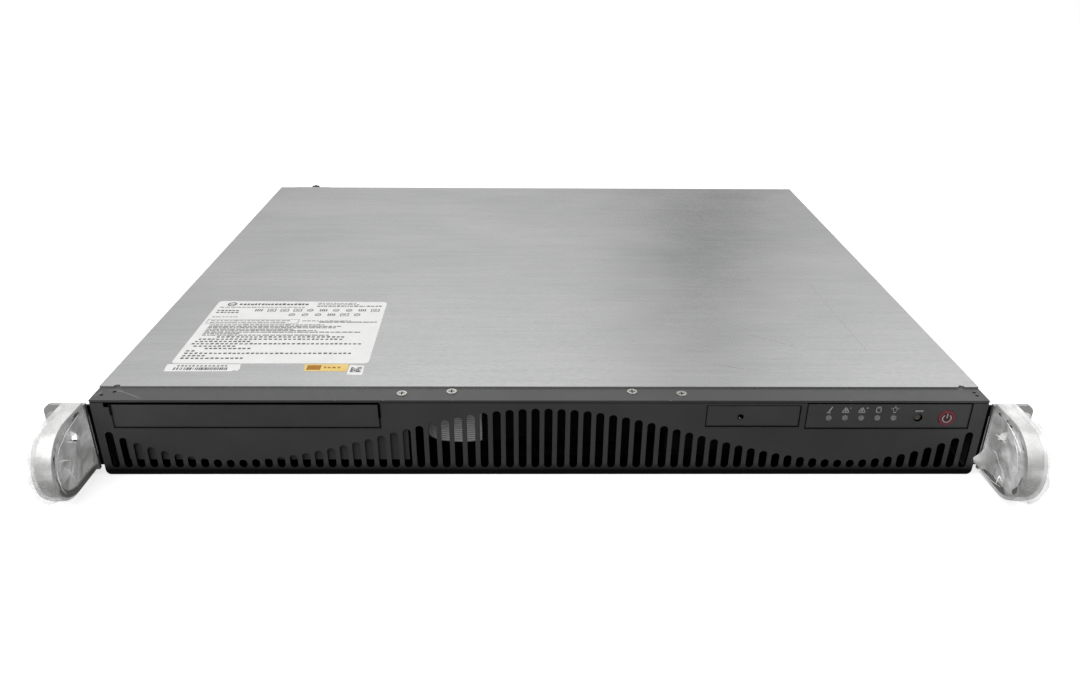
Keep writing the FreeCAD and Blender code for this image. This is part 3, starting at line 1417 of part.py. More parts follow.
def board_components():
    """Coils, capacitors and chips on the motherboard."""
    parts = []
    left = "(sink_across - sink_size / 2 + 3)"
    for index in range(6):
        x, y = "(%s + coil_pitch * %d)" % (left, index), "(%s + 6)" % SINK_REAR
        parts.append(block(x, x + " + coil_size", y, y + " + coil_size", BOARD_TOP, BOARD_TOP + " + 8"))
    for index in range(7):
        x = "(%s + coil_pitch * %d)" % (left, index)
        parts.append(cylinder("z", x, SINK_REAR + " + 26", BOARD_TOP, "4", "11"))
    for across, along, size in (("24", "170", "20"), ("16", "78", "14"), ("70", "196", "16")):
        x, y = "(%s - board_left)" % across, "(%s + %s)" % (BOARD_FRONT, along)
        parts.append(block(x, "%s + %s" % (x, size), y, "%s + %s" % (y, size), BOARD_TOP,
                           BOARD_TOP + " + 1.5"))
    battery = cylinder("z", "-board_left + 62", BOARD_FRONT + " + 30", BOARD_TOP, "10", "4")
    return node("board_components", group(*parts, battery))


def board_sockets():
    """Power, drive and control headers, and the slot that the riser stands in."""
    def socket(x, y, wide, deep, tall):
        return block(x, "%s + %s" % (x, wide), y, "%s + %s" % (y, deep), BOARD_TOP,
                     "%s + %s" % (BOARD_TOP, tall))

    parts = [socket("(3 - board_left)", BOARD_FRONT + " + 40", "9", "52", "13")]
    for index in range(4):
        x = "(20 - board_left + header_pitch * %d)" % index
        parts.append(socket(x, BOARD_FRONT + " + 46", "6", "17", "9"))
    parts.append(socket(RISER_ACROSS + " - 4", RISER_FRONT + " - 2", "8", "riser_length + 4", "riser_seat"))
    return node("board_sockets", group(*parts))


def memory_places():
    inner = BOARD_RIGHT + " - memory_inset"
    return ["(%s)" % inner, "(%s + memory_pitch)" % inner]


MEMORY_SEAT = "(" + BOARD_TOP + " + 2)"
MEMORY_FRONT = "(" + BOARD_FRONT + " + memory_setback)"
MEMORY_REAR = "(" + MEMORY_FRONT + " + memory_length)"


def memory_sockets():
    parts = []
    for x in memory_places():
        rail = block(x + " - socket_width / 2", x + " + socket_width / 2", MEMORY_FRONT + " - socket_end",
                     MEMORY_REAR + " + socket_end", BOARD_TOP, BOARD_TOP + " + socket_height")
        slack = "(module_sheet / 2 + socket_gap)"
        groove = block("%s - %s" % (x, slack), "%s + %s" % (x, slack), MEMORY_FRONT + " - socket_gap",
                       MEMORY_REAR + " + socket_gap", MEMORY_SEAT, BOARD_TOP + " + socket_height + 1")
        parts.append(cut(rail, groove))
    return node("memory_sockets", group(*parts))


def memory_modules():
    parts = []
    for x in memory_places():
        top = "(%s + memory_height)" % MEMORY_SEAT
        face = x + " + module_sheet / 2"
        card = block(x + " - module_sheet / 2", face, MEMORY_FRONT, MEMORY_REAR, MEMORY_SEAT, top)
        chips = []
        for index in range(9):
            start = "(%s + chip_pitch * %g)" % (MEMORY_FRONT, index + 0.5)
            chips.append(block(face, face + " + chip_height", start, start + " + chip_length",
                               MEMORY_SEAT + " + 12", MEMORY_SEAT + " + 24"))
        notches = [block(x + " - 2", x + " + 2", y, y + " + 5", LATCH_TIP + " - 1.2", LATCH_TIP + " + 3.2")
                   for y in ("(%s - 3.5)" % MEMORY_FRONT, "(%s - 1.5)" % MEMORY_REAR)]
        parts.append(cut(fuse(card, *chips), *notches))
    return node("memory_modules", group(*parts))


LATCH_TIP = "(" + BOARD_TOP + " + 17)"


def memory_latch(label, x, end, outward):
    """An ejector at one end of a memory socket, hooked into the module's notch."""
    body = new_body()
    face = sketch(body, "YZ_Plane", x + " - 2.2")

    def y(distance):
        return "%s %s %g" % (end, outward, distance)

    tip = LATCH_TIP
    outline(face, [
        (y(5), BOARD_TOP + " + 0.6"),
        (y(6), BOARD_TOP + " + 0.6"),
        (y(7.5), BOARD_TOP + " + 2.2"),
        (y(6.5), tip + " + 5"),
        (y(3), tip + " + 6"),
        (y(0.8), tip + " + 2.4"),
        (y(-0.8), tip + " + 2"),
        (y(-0.8), tip),
        (y(3.3), tip + " - 1"),
        (y(3.3), BOARD_TOP + " + 3"),
    ])
    pad(body, face, "4.4")
    return node(label, body)


def memory_latches():
    for name, x in zip(("inner", "outer"), memory_places()):
        memory_latch("memory_latch_%s_front" % name, x, MEMORY_FRONT, "-")
        memory_latch("memory_latch_%s_rear" % name, x, MEMORY_REAR, "+")


def riser_card():
    low, face = "(%s + riser_seat)" % BOARD_TOP, RISER_ACROSS + " + board_sheet / 2"
    rear = RISER_FRONT + " + riser_length"
    card = block(RISER_ACROSS + " - board_sheet / 2", face, RISER_FRONT, rear, low, "shroud_top")
    slot = block(face, face + " + 11", RISER_FRONT + " + 2", rear + " - 2", "26", "34")
    return node("riser_card", fuse(card, slot))


# Rear fittings --------------------------------------------------------------
def port(x, width, low, high, depth, hollow=None, reach=1.5):
    """A port's shell on the motherboard, standing out of the I/O shield."""
    rear = "(body_depth + %g)" % reach
    x0, x1 = "(-%s + %g)" % (IO_LEFT, x), "(-%s + %g)" % (IO_LEFT, x + width)
    z0, z1 = "(%s + %g)" % (BOARD_TOP, low), "(%s + %g)" % (BOARD_TOP, high)
    shell = block(x0, x1, "%s - %g" % (rear, depth), rear, z0, z1)
    if hollow is None:
        return shell
    wall, deep = hollow
    return cut(shell, block("%s + %g" % (x0, wall), "%s - %g" % (x1, wall), "%s - %g" % (rear, deep),
                            rear + " + 1", "%s + %g" % (z0, wall), "%s - %g" % (z1, wall)))


def keyboard_port():
    start = PORT_STARTS["keyboard"]
    shell = port(start, 14, 0, 14, 14)
    socket = cylinder("y", "-%s + %g" % (IO_LEFT, start + 7), "body_depth - 8", BOARD_TOP + " + 7", "4.6",
                      "20")
    return node("keyboard_port", cut(shell, socket))


def usb_ports():
    shell = port(PORT_STARTS["usb"], 14.5, 0, 15.6, 18)
    cuts = []
    tongues = []
    x0 = "(-%s + %g)" % (IO_LEFT, PORT_STARTS["usb"])
    for low in (1.0, 8.6):
        z0 = "(%s + %g)" % (BOARD_TOP, low)
        cuts.append(block(x0 + " + 0.8", x0 + " + 13.7", "body_depth - 9", "body_depth + 3", z0,
                          z0 + " + 5.6"))
        tongues.append(block(x0 + " + 1.8", x0 + " + 12.7", "body_depth - 10", "body_depth", z0 + " + 3",
                             z0 + " + 4.8"))
    return node("usb_ports", fuse(cut(shell, *cuts), *tongues))


def d_sub(x, shell_width):
    """A D-shaped connector shell on its base, with a jack nut at each side."""
    base = port(x, 31, 0, 12.5, 14, reach=0)
    mid = "(-%s + %g)" % (IO_LEFT, x + 15.5)
    up = "(%s + 6.2)" % BOARD_TOP
    shell = block("%s - %g" % (mid, shell_width / 2), "%s + %g" % (mid, shell_width / 2), "body_depth - 1",
                  "body_depth + 5.5", up + " - 4", up + " + 4")
    nuts = [cylinder("y", "%s %s 12.5" % (mid, sign), "body_depth - 1", up, "2.6", "5") for sign in "-+"]
    return fuse(base, shell, *nuts)


def serial_port():
    return node("serial_port", d_sub(PORT_STARTS["serial"], 18))


def video_port():
    return node("video_port", d_sub(PORT_STARTS["video"], 17))


def network_ports():
    jacks = [port(start, 16, 0, 13.5, 21, hollow=(2.2, 13)) for start in PORT_STARTS["network"]]
    return node("network_ports", group(*jacks))


PORT_STARTS = {"keyboard": 6, "usb": 26, "serial": 46, "video": 82, "network": (118, 137)}


def io_shield():
    """Thin plate in the rear opening, with a window for each port."""
    left, sheet_front = "-" + IO_LEFT, REAR_INSIDE + " - shield_sheet"
    plate = block(left + " - 2", left + " + io_width + 2", sheet_front, REAR_INSIDE, "io_sill - 1.5",
                  "io_sill + io_height + 0.8")
    spans = [
        (PORT_STARTS["keyboard"], 14, 14),
        (PORT_STARTS["usb"], 14.5, 15.6),
        (PORT_STARTS["serial"], 31, 12.5),
        (PORT_STARTS["video"], 31, 12.5),
    ]
    spans += [(start, 16, 13.5) for start in PORT_STARTS["network"]]
    windows = []
    for start, width, height in spans:
        windows.append(block("%s + %g" % (left, start - 0.3), "%s + %g" % (left, start + width + 0.3),
                             sheet_front + " - 1", REAR_INSIDE + " + 1", BOARD_UNDER + " - 0.2",
                             "%s + %g" % (BOARD_TOP, height + 0.3)))
    return node("io_shield", cut(plate, *windows))


def slot_cover():
    """Blank bracket over the expansion slot, screwed to the rear panel at its bent tab."""
    right = "(slot_left + slot_across + 1.5)"
    front = REAR_INSIDE + " - bracket_sheet"
    sill, head = "slot_sill - 1.5", "slot_sill + slot_up + 1.5"
    plate = block("slot_left - 1.5", right, front, REAR_INSIDE, sill, head)
    tab = block(right + " - bracket_sheet", right, REAR_INSIDE + " - 11", REAR_INSIDE, sill, head)
    y, z = REAR_INSIDE + " - 6", "slot_sill + slot_up / 2"
    hole = cylinder("x", right + " - 3", y, z, "screw_radius", "8")
    shank = cylinder("x", right + " - bracket_sheet", y, z, "screw_radius", "bracket_sheet + 1")
    head = cylinder("x", right + " - bracket_sheet - 2", y, z, "3", "2")
    return node("slot_cover", group(cut(fuse(plate, tab), hole), fuse(shank, head)))


# Drives ---------------------------------------------------------------------
def hard_drive(label, across, front, wide, deep):
    """A 3.5-inch drive: cast frame, stepped lid and the connector's recess."""
    left, right = "(%s - %s / 2)" % (across, wide), "(%s + %s / 2)" % (across, wide)
    rear = "(%s + %s)" % (front, deep)
    top = "(tray_sheet + drive_height)"
    frame = block(left, right, front, rear, "tray_sheet", top + " - 3")
    lid = block(left + " + 3", right + " - 3", front + " + 3", rear + " - 3", top + " - 3", top)
    if wide == "drive_width":
        recess = block(left + " + 20", left + " + 62", rear + " - 8", rear + " + 1", "0", "tray_sheet + 6")
    else:
        recess = block(left + " - 1", left + " + 8", front + " + 20", front + " + 62", "0", "tray_sheet + 6")
    holes = [cylinder("z", x, y, "0", "screw_radius + screw_gap", "6")
             for x, y in drive_screw_places() if x.startswith(across)]
    spindle = cylinder("z", "%s" % across, "(%s + %s) / 2" % (front, rear), top, "11", "0.4")
    return node(label, fuse(cut(fuse(frame, lid), recess, *holes), spindle))


def hard_drives():
    hard_drive("hard_drive_left", "-left_drive_across", "left_drive_front", "drive_width", "drive_length")
    hard_drive("hard_drive_right", "right_drive_across", "right_drive_front", "drive_length", "drive_width")


def drive_screws():
    return node("drive_screws", group(*[cylinder("z", x, y, "0.2", "screw_radius", "4.8")
                                        for x, y in drive_screw_places()]))


# Flat control cable ---------------------------------------------------------
def ribbon_points():
    """Route in plan from the control board, past the slots and back to the motherboard."""
    start, run, bow = val(RIBBON_PLUG + " - plug_reach"), val("ribbon_run"), val("ribbon_bow")
    forward, turn = -val("ribbon_bow_across"), -val("ribbon_turn")
    landing = val(BOARD_FRONT + " + ribbon_landing")
    return [
        (start, run - 0.2),
        (start * 0.76, run - 1),
        (start * 0.53, run + 0.6),
        (start * 0.28, run),
        (forward + 46, run + 0.4),
        (forward + 20, (run + bow * 1.2) / 2),
        (forward, bow),
        (turn + 7, bow + 3.3),
        (turn, bow + 20),
        (turn + 0.5, landing - 88),
        (turn + 2.5, landing - 54),
        (turn - 0.5, landing - 24),
        (turn - 2, landing),
    ]


def tangent_path(points, share=0.45):
    """Straight runs joined by tangent arcs, each as large as its two runs allow."""
    corners = [Vector(x, y, 0) for x, y in points]
    edges, last = [], corners[0]
    for before, corner, after in zip(corners, corners[1:], corners[2:]):
        back, ahead = before - corner, after - corner
        reach = share * min(back.Length, ahead.Length)
        turn = math.pi - back.getAngle(ahead)
        start = corner + back.normalize() * reach
        end = corner + ahead.normalize() * reach
        radius = reach / math.tan(turn / 2)
        towards = (start + end) * 0.5 - corner
        centre = corner + towards.normalize() * math.hypot(radius, reach)
        middle = centre + (corner - centre).normalize() * radius
        edges += [Part.makeLine(last, start), Part.Arc(start, middle, end).toShape()]
        last = end
    edges.append(Part.makeLine(last, corners[-1]))
    return Part.Wire(edges)


def flat_sweep(path, grow):
    """The cable's upright flat section, grown all round, carried along a path."""
    tall = Vector(0, 0, val("ribbon_height") + grow * 2)
    start = path.OrderedVertexes[0].Point + Vector(0, 0, val("ribbon_bottom") - grow)
    first = path.OrderedEdges[0]
    along = first.tangentAt(first.FirstParameter)
    side = along.cross(Vector(0, 0, 1)) * (val("ribbon_sheet") / 2 + grow)
    corners = [start + side, start - side, start - side + tall, start + side + tall]
    profile = Part.makePolygon(corners + corners[:1])
    return path.makePipeShell([profile], True, False)


def control_ribbon():
    item = doc.addObject("Part::Feature", "Ribbon")
    item.Shape = flat_sweep(tangent_path(ribbon_points()), 0)
    return node("control_ribbon", item)


def ribbon_sleeve():
    """Sleeve round the cable's long run, open at both ends."""
    run = Part.Wire(tangent_path(ribbon_points()).OrderedEdges[:11])
    gap = val("sleeve_gap")
    item = doc.addObject("Part::Feature", "Sleeve")
    item.Shape = flat_sweep(run, gap + val("sleeve_wall")).cut(flat_sweep(run, gap))
    return item


def ribbon_plugs():
    low, high = "(ribbon_bottom - 0.6)", "(ribbon_bottom + ribbon_height + 0.6)"
    front = "(%s + header_depth)" % CONTROL_BOARD_REAR
    first = block(RIBBON_PLUG + " - plug_reach + 0.2", RIBBON_PLUG + " + plug_reach", front, front + " + 6",
                  low, high)
    left, right = "(-ribbon_turn - 2 - plug_half)", "(-ribbon_turn - 2 + plug_half)"
    start = "(%s + ribbon_landing + 0.2)" % BOARD_FRONT
    second = fuse(block(left, right, start, start + " + 6", low, high),
                  block(left, right, start, start + " + 18", BOARD_TOP, low))
    return node("ribbon_plugs", group(first, second, ribbon_sleeve()))


def build():
    """Make every sub-part."""
    makers = [
        chassis_tray, rear_panel, front_panel, strip_screws, top_cover, cover_thumbscrew, ear_bracket,
        handle, handle_film, ear_screws, optical_bay_blank, optical_bay_bracket, port_bay_blank,
        port_bay_screw, control_panel_plate, status_lenses, control_board, power_button, reset_button,
        power_supply_case, power_supply_fan_frame, power_supply_fan, fan_guard, power_inlet,
        power_supply_circuit, blower_bracket, blower_housing, blower_impeller, air_shroud, motherboard,
        board_standoffs, board_screws, processor, processor_heatsink, heatsink_screws, chipset_heatsink,
        board_components, board_sockets, memory_sockets, memory_modules, memory_latches, riser_card,
        keyboard_port, usb_ports, serial_port, video_port, network_ports, io_shield, slot_cover,
        hard_drives, drive_screws, control_ribbon, ribbon_plugs,
    ]
    for make in makers:
        make()


def export():
    """Check every object and sub-part, then write one STEP file for each node."""
    doc.recompute()
    for item in doc.Objects:
        if "Invalid" in item.State or "Error" in item.State:
            raise RuntimeError("%s (%s) is %s" % (item.Label, item.Name, item.State))
    for item in PARTS:
        if item.Shape.isNull() or not item.Shape.isValid():
            raise RuntimeError("%s has no valid shape" % item.Label)
        item.Shape.exportStep("parts/%s.step" % item.Label)


os.makedirs("parts", exist_ok=True)
build()
export()
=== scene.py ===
"""Looks of a one-unit rack server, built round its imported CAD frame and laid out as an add-on."""
import math
import random

import bpy
from mathutils import Euler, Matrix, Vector, noise

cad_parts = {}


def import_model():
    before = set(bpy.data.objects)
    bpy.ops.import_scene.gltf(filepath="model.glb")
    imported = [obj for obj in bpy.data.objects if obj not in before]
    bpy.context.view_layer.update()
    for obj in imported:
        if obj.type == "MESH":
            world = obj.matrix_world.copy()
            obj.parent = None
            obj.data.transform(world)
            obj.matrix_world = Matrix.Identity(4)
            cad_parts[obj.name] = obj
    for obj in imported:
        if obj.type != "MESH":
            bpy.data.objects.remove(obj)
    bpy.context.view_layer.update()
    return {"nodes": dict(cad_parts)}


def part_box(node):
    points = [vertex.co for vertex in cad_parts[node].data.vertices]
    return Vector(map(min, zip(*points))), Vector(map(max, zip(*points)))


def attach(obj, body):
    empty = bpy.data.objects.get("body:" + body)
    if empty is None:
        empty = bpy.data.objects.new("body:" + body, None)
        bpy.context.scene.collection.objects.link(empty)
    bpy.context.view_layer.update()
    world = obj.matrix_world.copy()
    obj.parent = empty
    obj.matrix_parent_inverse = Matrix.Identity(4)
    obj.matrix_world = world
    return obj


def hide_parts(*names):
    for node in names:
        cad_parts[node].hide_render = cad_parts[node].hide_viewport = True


bl_info = {
    "name": "Rack server looks",
    "version": (1, 0, 0),
    "blender": (4, 5, 0),
    "location": "3D View > Sidebar > Rack server",
    "description": "Finishes, labels, marks and packing film of a one-unit rack server",
    "category": "Object",
}

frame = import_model()

MM = 0.001
FACE_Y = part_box("front_panel")[0].y          # front panel's outer face
FACE_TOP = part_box("front_panel")[1].z
COVER_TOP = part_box("top_cover")[1].z
ACROSS, BACK, UP = Vector((1, 0, 0)), Vector((0, 1, 0)), Vector((0, 0, 1))
EVEN = (1, 1, 1)                             # a pattern that isn't drawn out along any axis


# Settings -----------------------------
class ServerColours(bpy.types.PropertyGroup):
    """Colours that a user would change, as sRGB hex values."""
    cover: bpy.props.StringProperty(
        name="Cover", description="Zinc-coated steel of the cover", default="C9CAC9")
    panel: bpy.props.StringProperty(
        name="Panel", description="Powder coat of the front panel", default="414142")
    handle: bpy.props.StringProperty(
        name="Handle", description="Satin handles and ears", default="B6B6B4")
    button: bpy.props.StringProperty(
        name="Power button", description="Red ring of the power button", default="82303E")
    paper: bpy.props.StringProperty(
        name="Label", description="White label stock", default="F4F4F3")
    yellow: bpy.props.StringProperty(
        name="Yellow label", description="Small yellow label stock", default="F1D58A")
    ink: bpy.props.StringProperty(
        name="Ink", description="Print on the labels", default="4A4A4C")


class ServerPrint(bpy.types.PropertyGroup):
    """Sizes of the labels and of what is printed on them."""
    sheet: bpy.props.FloatProperty(
        name="Label thickness", description="Thickness of the label stock",
        default=0.08 * MM, unit="LENGTH")
    line_pitch: bpy.props.FloatProperty(
        name="Line pitch", description="Distance between printed lines",
        default=2.9 * MM, unit="LENGTH")
    mark_lift: bpy.props.FloatProperty(
        name="Mark lift", description="Height of the marks over the surface they are on",
        default=0.03 * MM, unit="LENGTH")


class ServerFilm(bpy.types.PropertyGroup):
    """Packing film over the handles."""
    slack: bpy.props.FloatProperty(
        name="Slack", description="How far the film stands off the bar's outer side",
        default=1.5 * MM, unit="LENGTH")
    crinkle: bpy.props.FloatProperty(
        name="Crinkle", description="Depth of the creases",
        default=1.1 * MM, unit="LENGTH")


class ServerStage(bpy.types.PropertyGroup):
    """Floor, lights and camera."""
    floor: bpy.props.FloatProperty(
        name="Floor size", description="Side of the floor", default=8.0, unit="LENGTH")
    lens: bpy.props.FloatProperty(
        name="Lens", description="Focal length", default=29.30, unit="CAMERA")
    key: bpy.props.FloatProperty(
        name="Key light", description="Power of the main softbox", default=19.0, unit="POWER")


GROUPS = {"server_colours": ServerColours, "server_print": ServerPrint, "server_film": ServerFilm,
          "server_stage": ServerStage}


def setting(group):
    """The scene's own copy of a group of settings."""
    return getattr(bpy.context.scene, "server_" + group)


# Shader helpers -----------------------
def linear(code):
    """Linear colour of an sRGB hex value."""
    parts = [int(code[i:i + 2], 16) / 255 for i in (0, 2, 4)]
    return tuple(p / 12.92 if p <= 0.04045 else ((p + 0.055) / 1.055) ** 2.4 for p in parts) + (1.0,)


def feed(tree, item, links):
    """Link sources to a node's inputs; a node stands for its own first output."""
    for name, source in dict(links).items():
        tree.links.new(getattr(source, "outputs", [source])[0], item.inputs[name])


def add(tree, kind, settings=(), links=()):
    """Add a shader node of a kind, such as Mix, with its settings and its incoming links."""
    item = tree.nodes.new("ShaderNode" + kind)
    for name, value in dict(settings).items():
        if isinstance(name, int) or name in item.inputs:
            item.inputs[name].default_value = value
        else:
            setattr(item, name, value)
    feed(tree, item, links)
    return item


def span(start, end, low=0.0, high=1.0):
    """Settings that turn a run from start to end into one from low to high."""
    return {"From Min": start, "From Max": end, "To Min": low, "To Max": high}


def axes(tree):
    """A point's place along X, Y and Z in the row frame, in metres."""
    place = add(tree, "TexCoord").outputs["Object"]
    return add(tree, "SeparateXYZ", {}, {"Vector": place}).outputs


def where(tree, *tests):
    """1 where a point's place passes every test, each an axis, a comparison and a limit, and 0 elsewhere."""
    place = axes(tree)
    mask = None
    for axis, test, limit in tests:
        passed = add(tree, "Math", {"operation": test, 1: limit}, {0: place[axis]})
        if mask is not None:
            passed = add(tree, "Math", {"operation": "MULTIPLY"}, {0: mask, 1: passed})
        mask = passed
    return mask


def noise_of(tree, size_mm, stretch=EVEN, detail=3.0, roughness=0.5):
    """Noise whose patches are about size_mm across, drawn out along the axes by stretch."""
    place = add(tree, "TexCoord").outputs["Object"]
    scale = tuple(1 / (size_mm * MM * s) for s in stretch)
    place = add(tree, "Mapping", {"Scale": scale}, {"Vector": place})
    settings = {"Scale": 1.0, "Detail": detail, "Roughness": roughness}
    return add(tree, "TexNoise", settings, {"Vector": place})


def patches(tree, size_mm, low=0.0, high=1.0, reach=(0.3, 0.7), **grade):
    """Soft patches of a real size, from low to high over the part of the noise that reach gives."""
    value = noise_of(tree, size_mm, **grade)
    return add(tree, "MapRange", span(*reach, low, high), {"Value": value})


def relief(tree, size_mm, depth_mm, strength, below=None, **grade):
    """Uneven relief of a real size and depth, as a normal; it can lie over another."""
    links = {"Height": noise_of(tree, size_mm, **grade)}
    if below is not None:
        links["Normal"] = below
    return add(tree, "Bump", {"Strength": strength, "Distance": depth_mm * MM}, links)


def layered(tree, base, *layers):
    """Lay colours over a base, each as far as its factor shows it; a colour is a hex value or a socket."""
    for factor, colour in layers:
        settings, links = {"data_type": "RGBA"}, {0: factor}
        for index, part in ((6, base), (7, colour)):
            if isinstance(part, str):
                settings[index] = linear(part)
            else:
                links[index] = part
        base = add(tree, "Mix", settings, links).outputs[2]
    return base


def material(name, base, settings=()):
    """A fresh material with one Principled shader of a plain base colour."""
    item = bpy.data.materials.new(name)
    item.use_nodes = True
    shader = item.node_tree.nodes["Principled BSDF"]
    shader.inputs["Base Color"].default_value = linear(base)
    for socket, value in dict(settings).items():
        shader.inputs[socket].default_value = value
    item.diffuse_color = linear(base)
    return item, item.node_tree, shader


def textured(name, base, other, tone_mm, rough, grain_mm, grain_depth, metallic=0.0, grain_stretch=EVEN,
             sockets=()):
    """A material with uneven tone and gloss and a fine grain, each of a real size."""
    item, tree, shader = material(name, base, {"Metallic": metallic, **dict(sockets)})
    feed(tree, shader, {
        "Base Color": layered(tree, base, (patches(tree, tone_mm, detail=4.0), other)),
        "Roughness": patches(tree, tone_mm * 0.7, *rough),
        "Normal": relief(tree, grain_mm, grain_depth, 0.6, stretch=grain_stretch, detail=2.0),
    })
    return item


def with_painted_shade(item):
    """Paint shade over what lies behind the front face, such as cut edges and the backs of plates, and over the
    face's foot: a darker colour and less shine stand in for the shade there.
    """
    tree = item.node_tree
    shader = tree.nodes["Principled BSDF"]
    shade_behind_face = where(tree, ("Y", "GREATER_THAN", FACE_Y + 0.15 * MM), ("Z", "LESS_THAN", FACE_TOP - 1.4 * MM),
                   ("Z", "GREATER_THAN", 0.9 * MM))
    foot = add(tree, "MapRange", span(2.4 * MM, 7 * MM, 0.95, 0), {"Value": axes(tree)["Z"]})
    dull = add(tree, "Math", {"operation": "MAXIMUM"}, {0: shade_behind_face, 1: foot})
    shine = shader.inputs["Specular IOR Level"].default_value
    coat = shader.inputs["Base Color"].links[0].from_socket
    # Painted shade: darker at the foot, near-black behind the face, with less shine in both.
    feed(tree, shader, {
        "Base Color": layered(tree, coat, (foot, "0A0A0B"), (shade_behind_face, "040404")),
        "Specular IOR Level": add(tree, "MapRange", span(0, 1, shine, 0.05), {"Value": dull}),
    })
    return item


# Finishes -----------------------------
def cover_steel():
    """Zinc-coated sheet steel, rolled and lightly brushed: soft cloudy patches under hair-fine lines."""
    base = setting("colours").cover
    item, tree, shader = material("Brushed zinc-coated steel", base, {"Metallic": 0.92})
    clouds = patches(tree, 52, reach=(0.25, 0.75), stretch=(1.6, 1, 1), detail=5.0, roughness=0.6)
    spangle = patches(tree, 2.0, stretch=(1.8, 1, 1), detail=4.0, roughness=0.65)
    streaks = patches(tree, 3.2, reach=(0.35, 0.7), stretch=(22, 1, 1), roughness=0.6)
    tone = layered(tree, "BBBCBC", (clouds, base))
    for pattern, share, colour in ((spangle, 0.30, "A4A6A6"), (streaks, 0.22, "D8D8D8")):
        part = add(tree, "MapRange", span(0, 1, 0, share), {"Value": pattern})
        tone = layered(tree, tone, (part, colour))
    rolled = add(tree, "MapRange", span(0, 1, 0.20, 0.27), {"Value": clouds})
    gloss = add(tree, "Math", {"operation": "MULTIPLY_ADD", 1: 0.09}, {0: spangle, 2: rolled})
    dents = relief(tree, 90, 0.35, 0.35, detail=1.0)
    # Real brush lines are finer: these are as coarse as they need to be to show.
    hairs = relief(tree, 0.7, 0.02, 0.5, dents, stretch=(60, 1, 1), detail=2.0)
    feed(tree, shader, {"Base Color": tone, "Roughness": gloss, "Normal": hairs})
    return item


def powder_coat(name):
    """Black powder coat, cured on steel: an orange-peel skin, dull head-on and shining at a low angle."""
    base = setting("colours").panel
    item, tree, shader = material(name, base, {"Specular IOR Level": 0.48})
    feed(tree, shader, {
        "Base Color": layered(tree, base, (patches(tree, 30, detail=4.0), "484849")),
        "Roughness": patches(tree, 6, 0.28, 0.36),
        "Normal": relief(tree, 0.8, 0.04, 0.4, detail=2.0),
    })
    return item


def drive_skin():
    """Hard drive: black electro-dipped frame under a plain steel lid."""
    dip, lid_gauge = "0B0B0C", 0.9 * MM
    item, tree, shader = material("Black-dipped drive with a steel lid", dip, {"Roughness": 0.5})
    lid = where(tree, ("Z", "GREATER_THAN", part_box("hard_drive_left")[1].z - lid_gauge))
    steel = layered(tree, "9C9EA0", (patches(tree, 8), "AFB1B2"))
    feed(tree, shader, {
        "Base Color": layered(tree, dip, (lid, steel)),
        "Metallic": lid,
        "Normal": relief(tree, 0.9, 0.03, 0.5),
    })
    return item


def tray_steel():
    """Zinc-coated tray, with a black insulating sheet stuck over the inside of its floor."""
    base, shine = "A9ABAC", 0.9
    item, tree, shader = material("Rolled zinc-coated tray", base, {"Metallic": shine, "Roughness": 0.42})
    sheet = where(tree, ("Z", "LESS_THAN", 1.2 * MM), ("Z", "GREATER_THAN", 0.8 * MM))
    bare = add(tree, "Math", {"operation": "MULTIPLY_ADD", 1: -shine, 2: shine}, {0: sheet})
    feed(tree, shader, {
        "Base Color": layered(tree, base, (patches(tree, 12), "959799"), (sheet, "0C0C0D")),
        "Metallic": bare,
        "Normal": relief(tree, 1.5, 0.02, 0.6),
    })
    return item


def satin_handle():
    """Silver-grey stoved enamel on die-cast metal: an even satin skin with faint flow marks."""
    base = setting("colours").handle
    return textured("Silver enamel on cast metal", base, "C2C2C0", 14, (0.24, 0.32), 0.6, 0.03, 0.72)


def tinted_button():
    """Polycarbonate button, tinted through: a red rim that gathers the light round a darker middle."""
    colour = setting("colours").button
    item, tree, shader = material("Tinted polycarbonate", colour, {"Roughness": 0.3, "Coat Weight": 0.3})
    low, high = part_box("power_button")
    middle = (low + high) / 2
    place = add(tree, "TexCoord").outputs["Object"]
    flat = add(tree, "VectorMath", {"operation": "MULTIPLY", 1: (1, 0, 1)}, {0: place})
    apart = add(tree, "VectorMath", {"operation": "DISTANCE", 1: (middle.x, 0, middle.z)},
                {0: flat}).outputs["Value"]
    rim = add(tree, "MapRange", span(2.6 * MM, 3.4 * MM), {"Value": apart})
    feed(tree, shader, {
        "Base Color": layered(tree, "46161D", (rim, colour)),
        "Normal": relief(tree, 0.5, 0.01, 0.4),
    })
    return item


def circuit_board():
    """Green solder mask over copper: raised tracks that run in two directions."""
    item, tree, shader = material("Solder-masked circuit board", "1F4A33", {"Roughness": 0.4})
    place = add(tree, "TexCoord").outputs["Object"]
    settings = {"Scale": 1 / (22 * MM), "Color1": linear("1E4B33"), "Color2": linear("2A6346"),
                "Mortar": linear("173A28"), "Mortar Size": 0.04, "Brick Width": 0.45, "Row Height": 0.11}
    tracks = add(tree, "TexBrick", settings, {"Vector": place})
    raised = add(tree, "Bump", {"Strength": 0.5, "Distance": 0.05 * MM},
                 {"Height": tracks.outputs["Fac"]})
    feed(tree, shader, {
        "Base Color": layered(tree, tracks.outputs["Color"], (patches(tree, 9, 0, 0.6), "19402C")),
        "Normal": raised,
    })
    return item


def flat_cable():
    """Grey PVC flat cable, extruded over side-by-side wires: one rib for every wire."""
    item, tree, shader = material("Extruded grey flat cable", "B9B9B8", {"Roughness": 0.5})
    place = add(tree, "TexCoord").outputs["Object"]
    wire_pitch = 1.27 * MM
    ribs = add(tree, "TexWave", {"bands_direction": "Z", "Scale": math.pi / 10 / wire_pitch},
               {"Vector": place}).outputs["Fac"]
    raised = add(tree, "Bump", {"Strength": 0.8, "Distance": 0.3 * MM}, {"Height": ribs})
    feed(tree, shader, {
        "Base Color": layered(tree, "B4B4B3", (ribs, "F2F2F0")),
        "Normal": raised,
    })
    return item


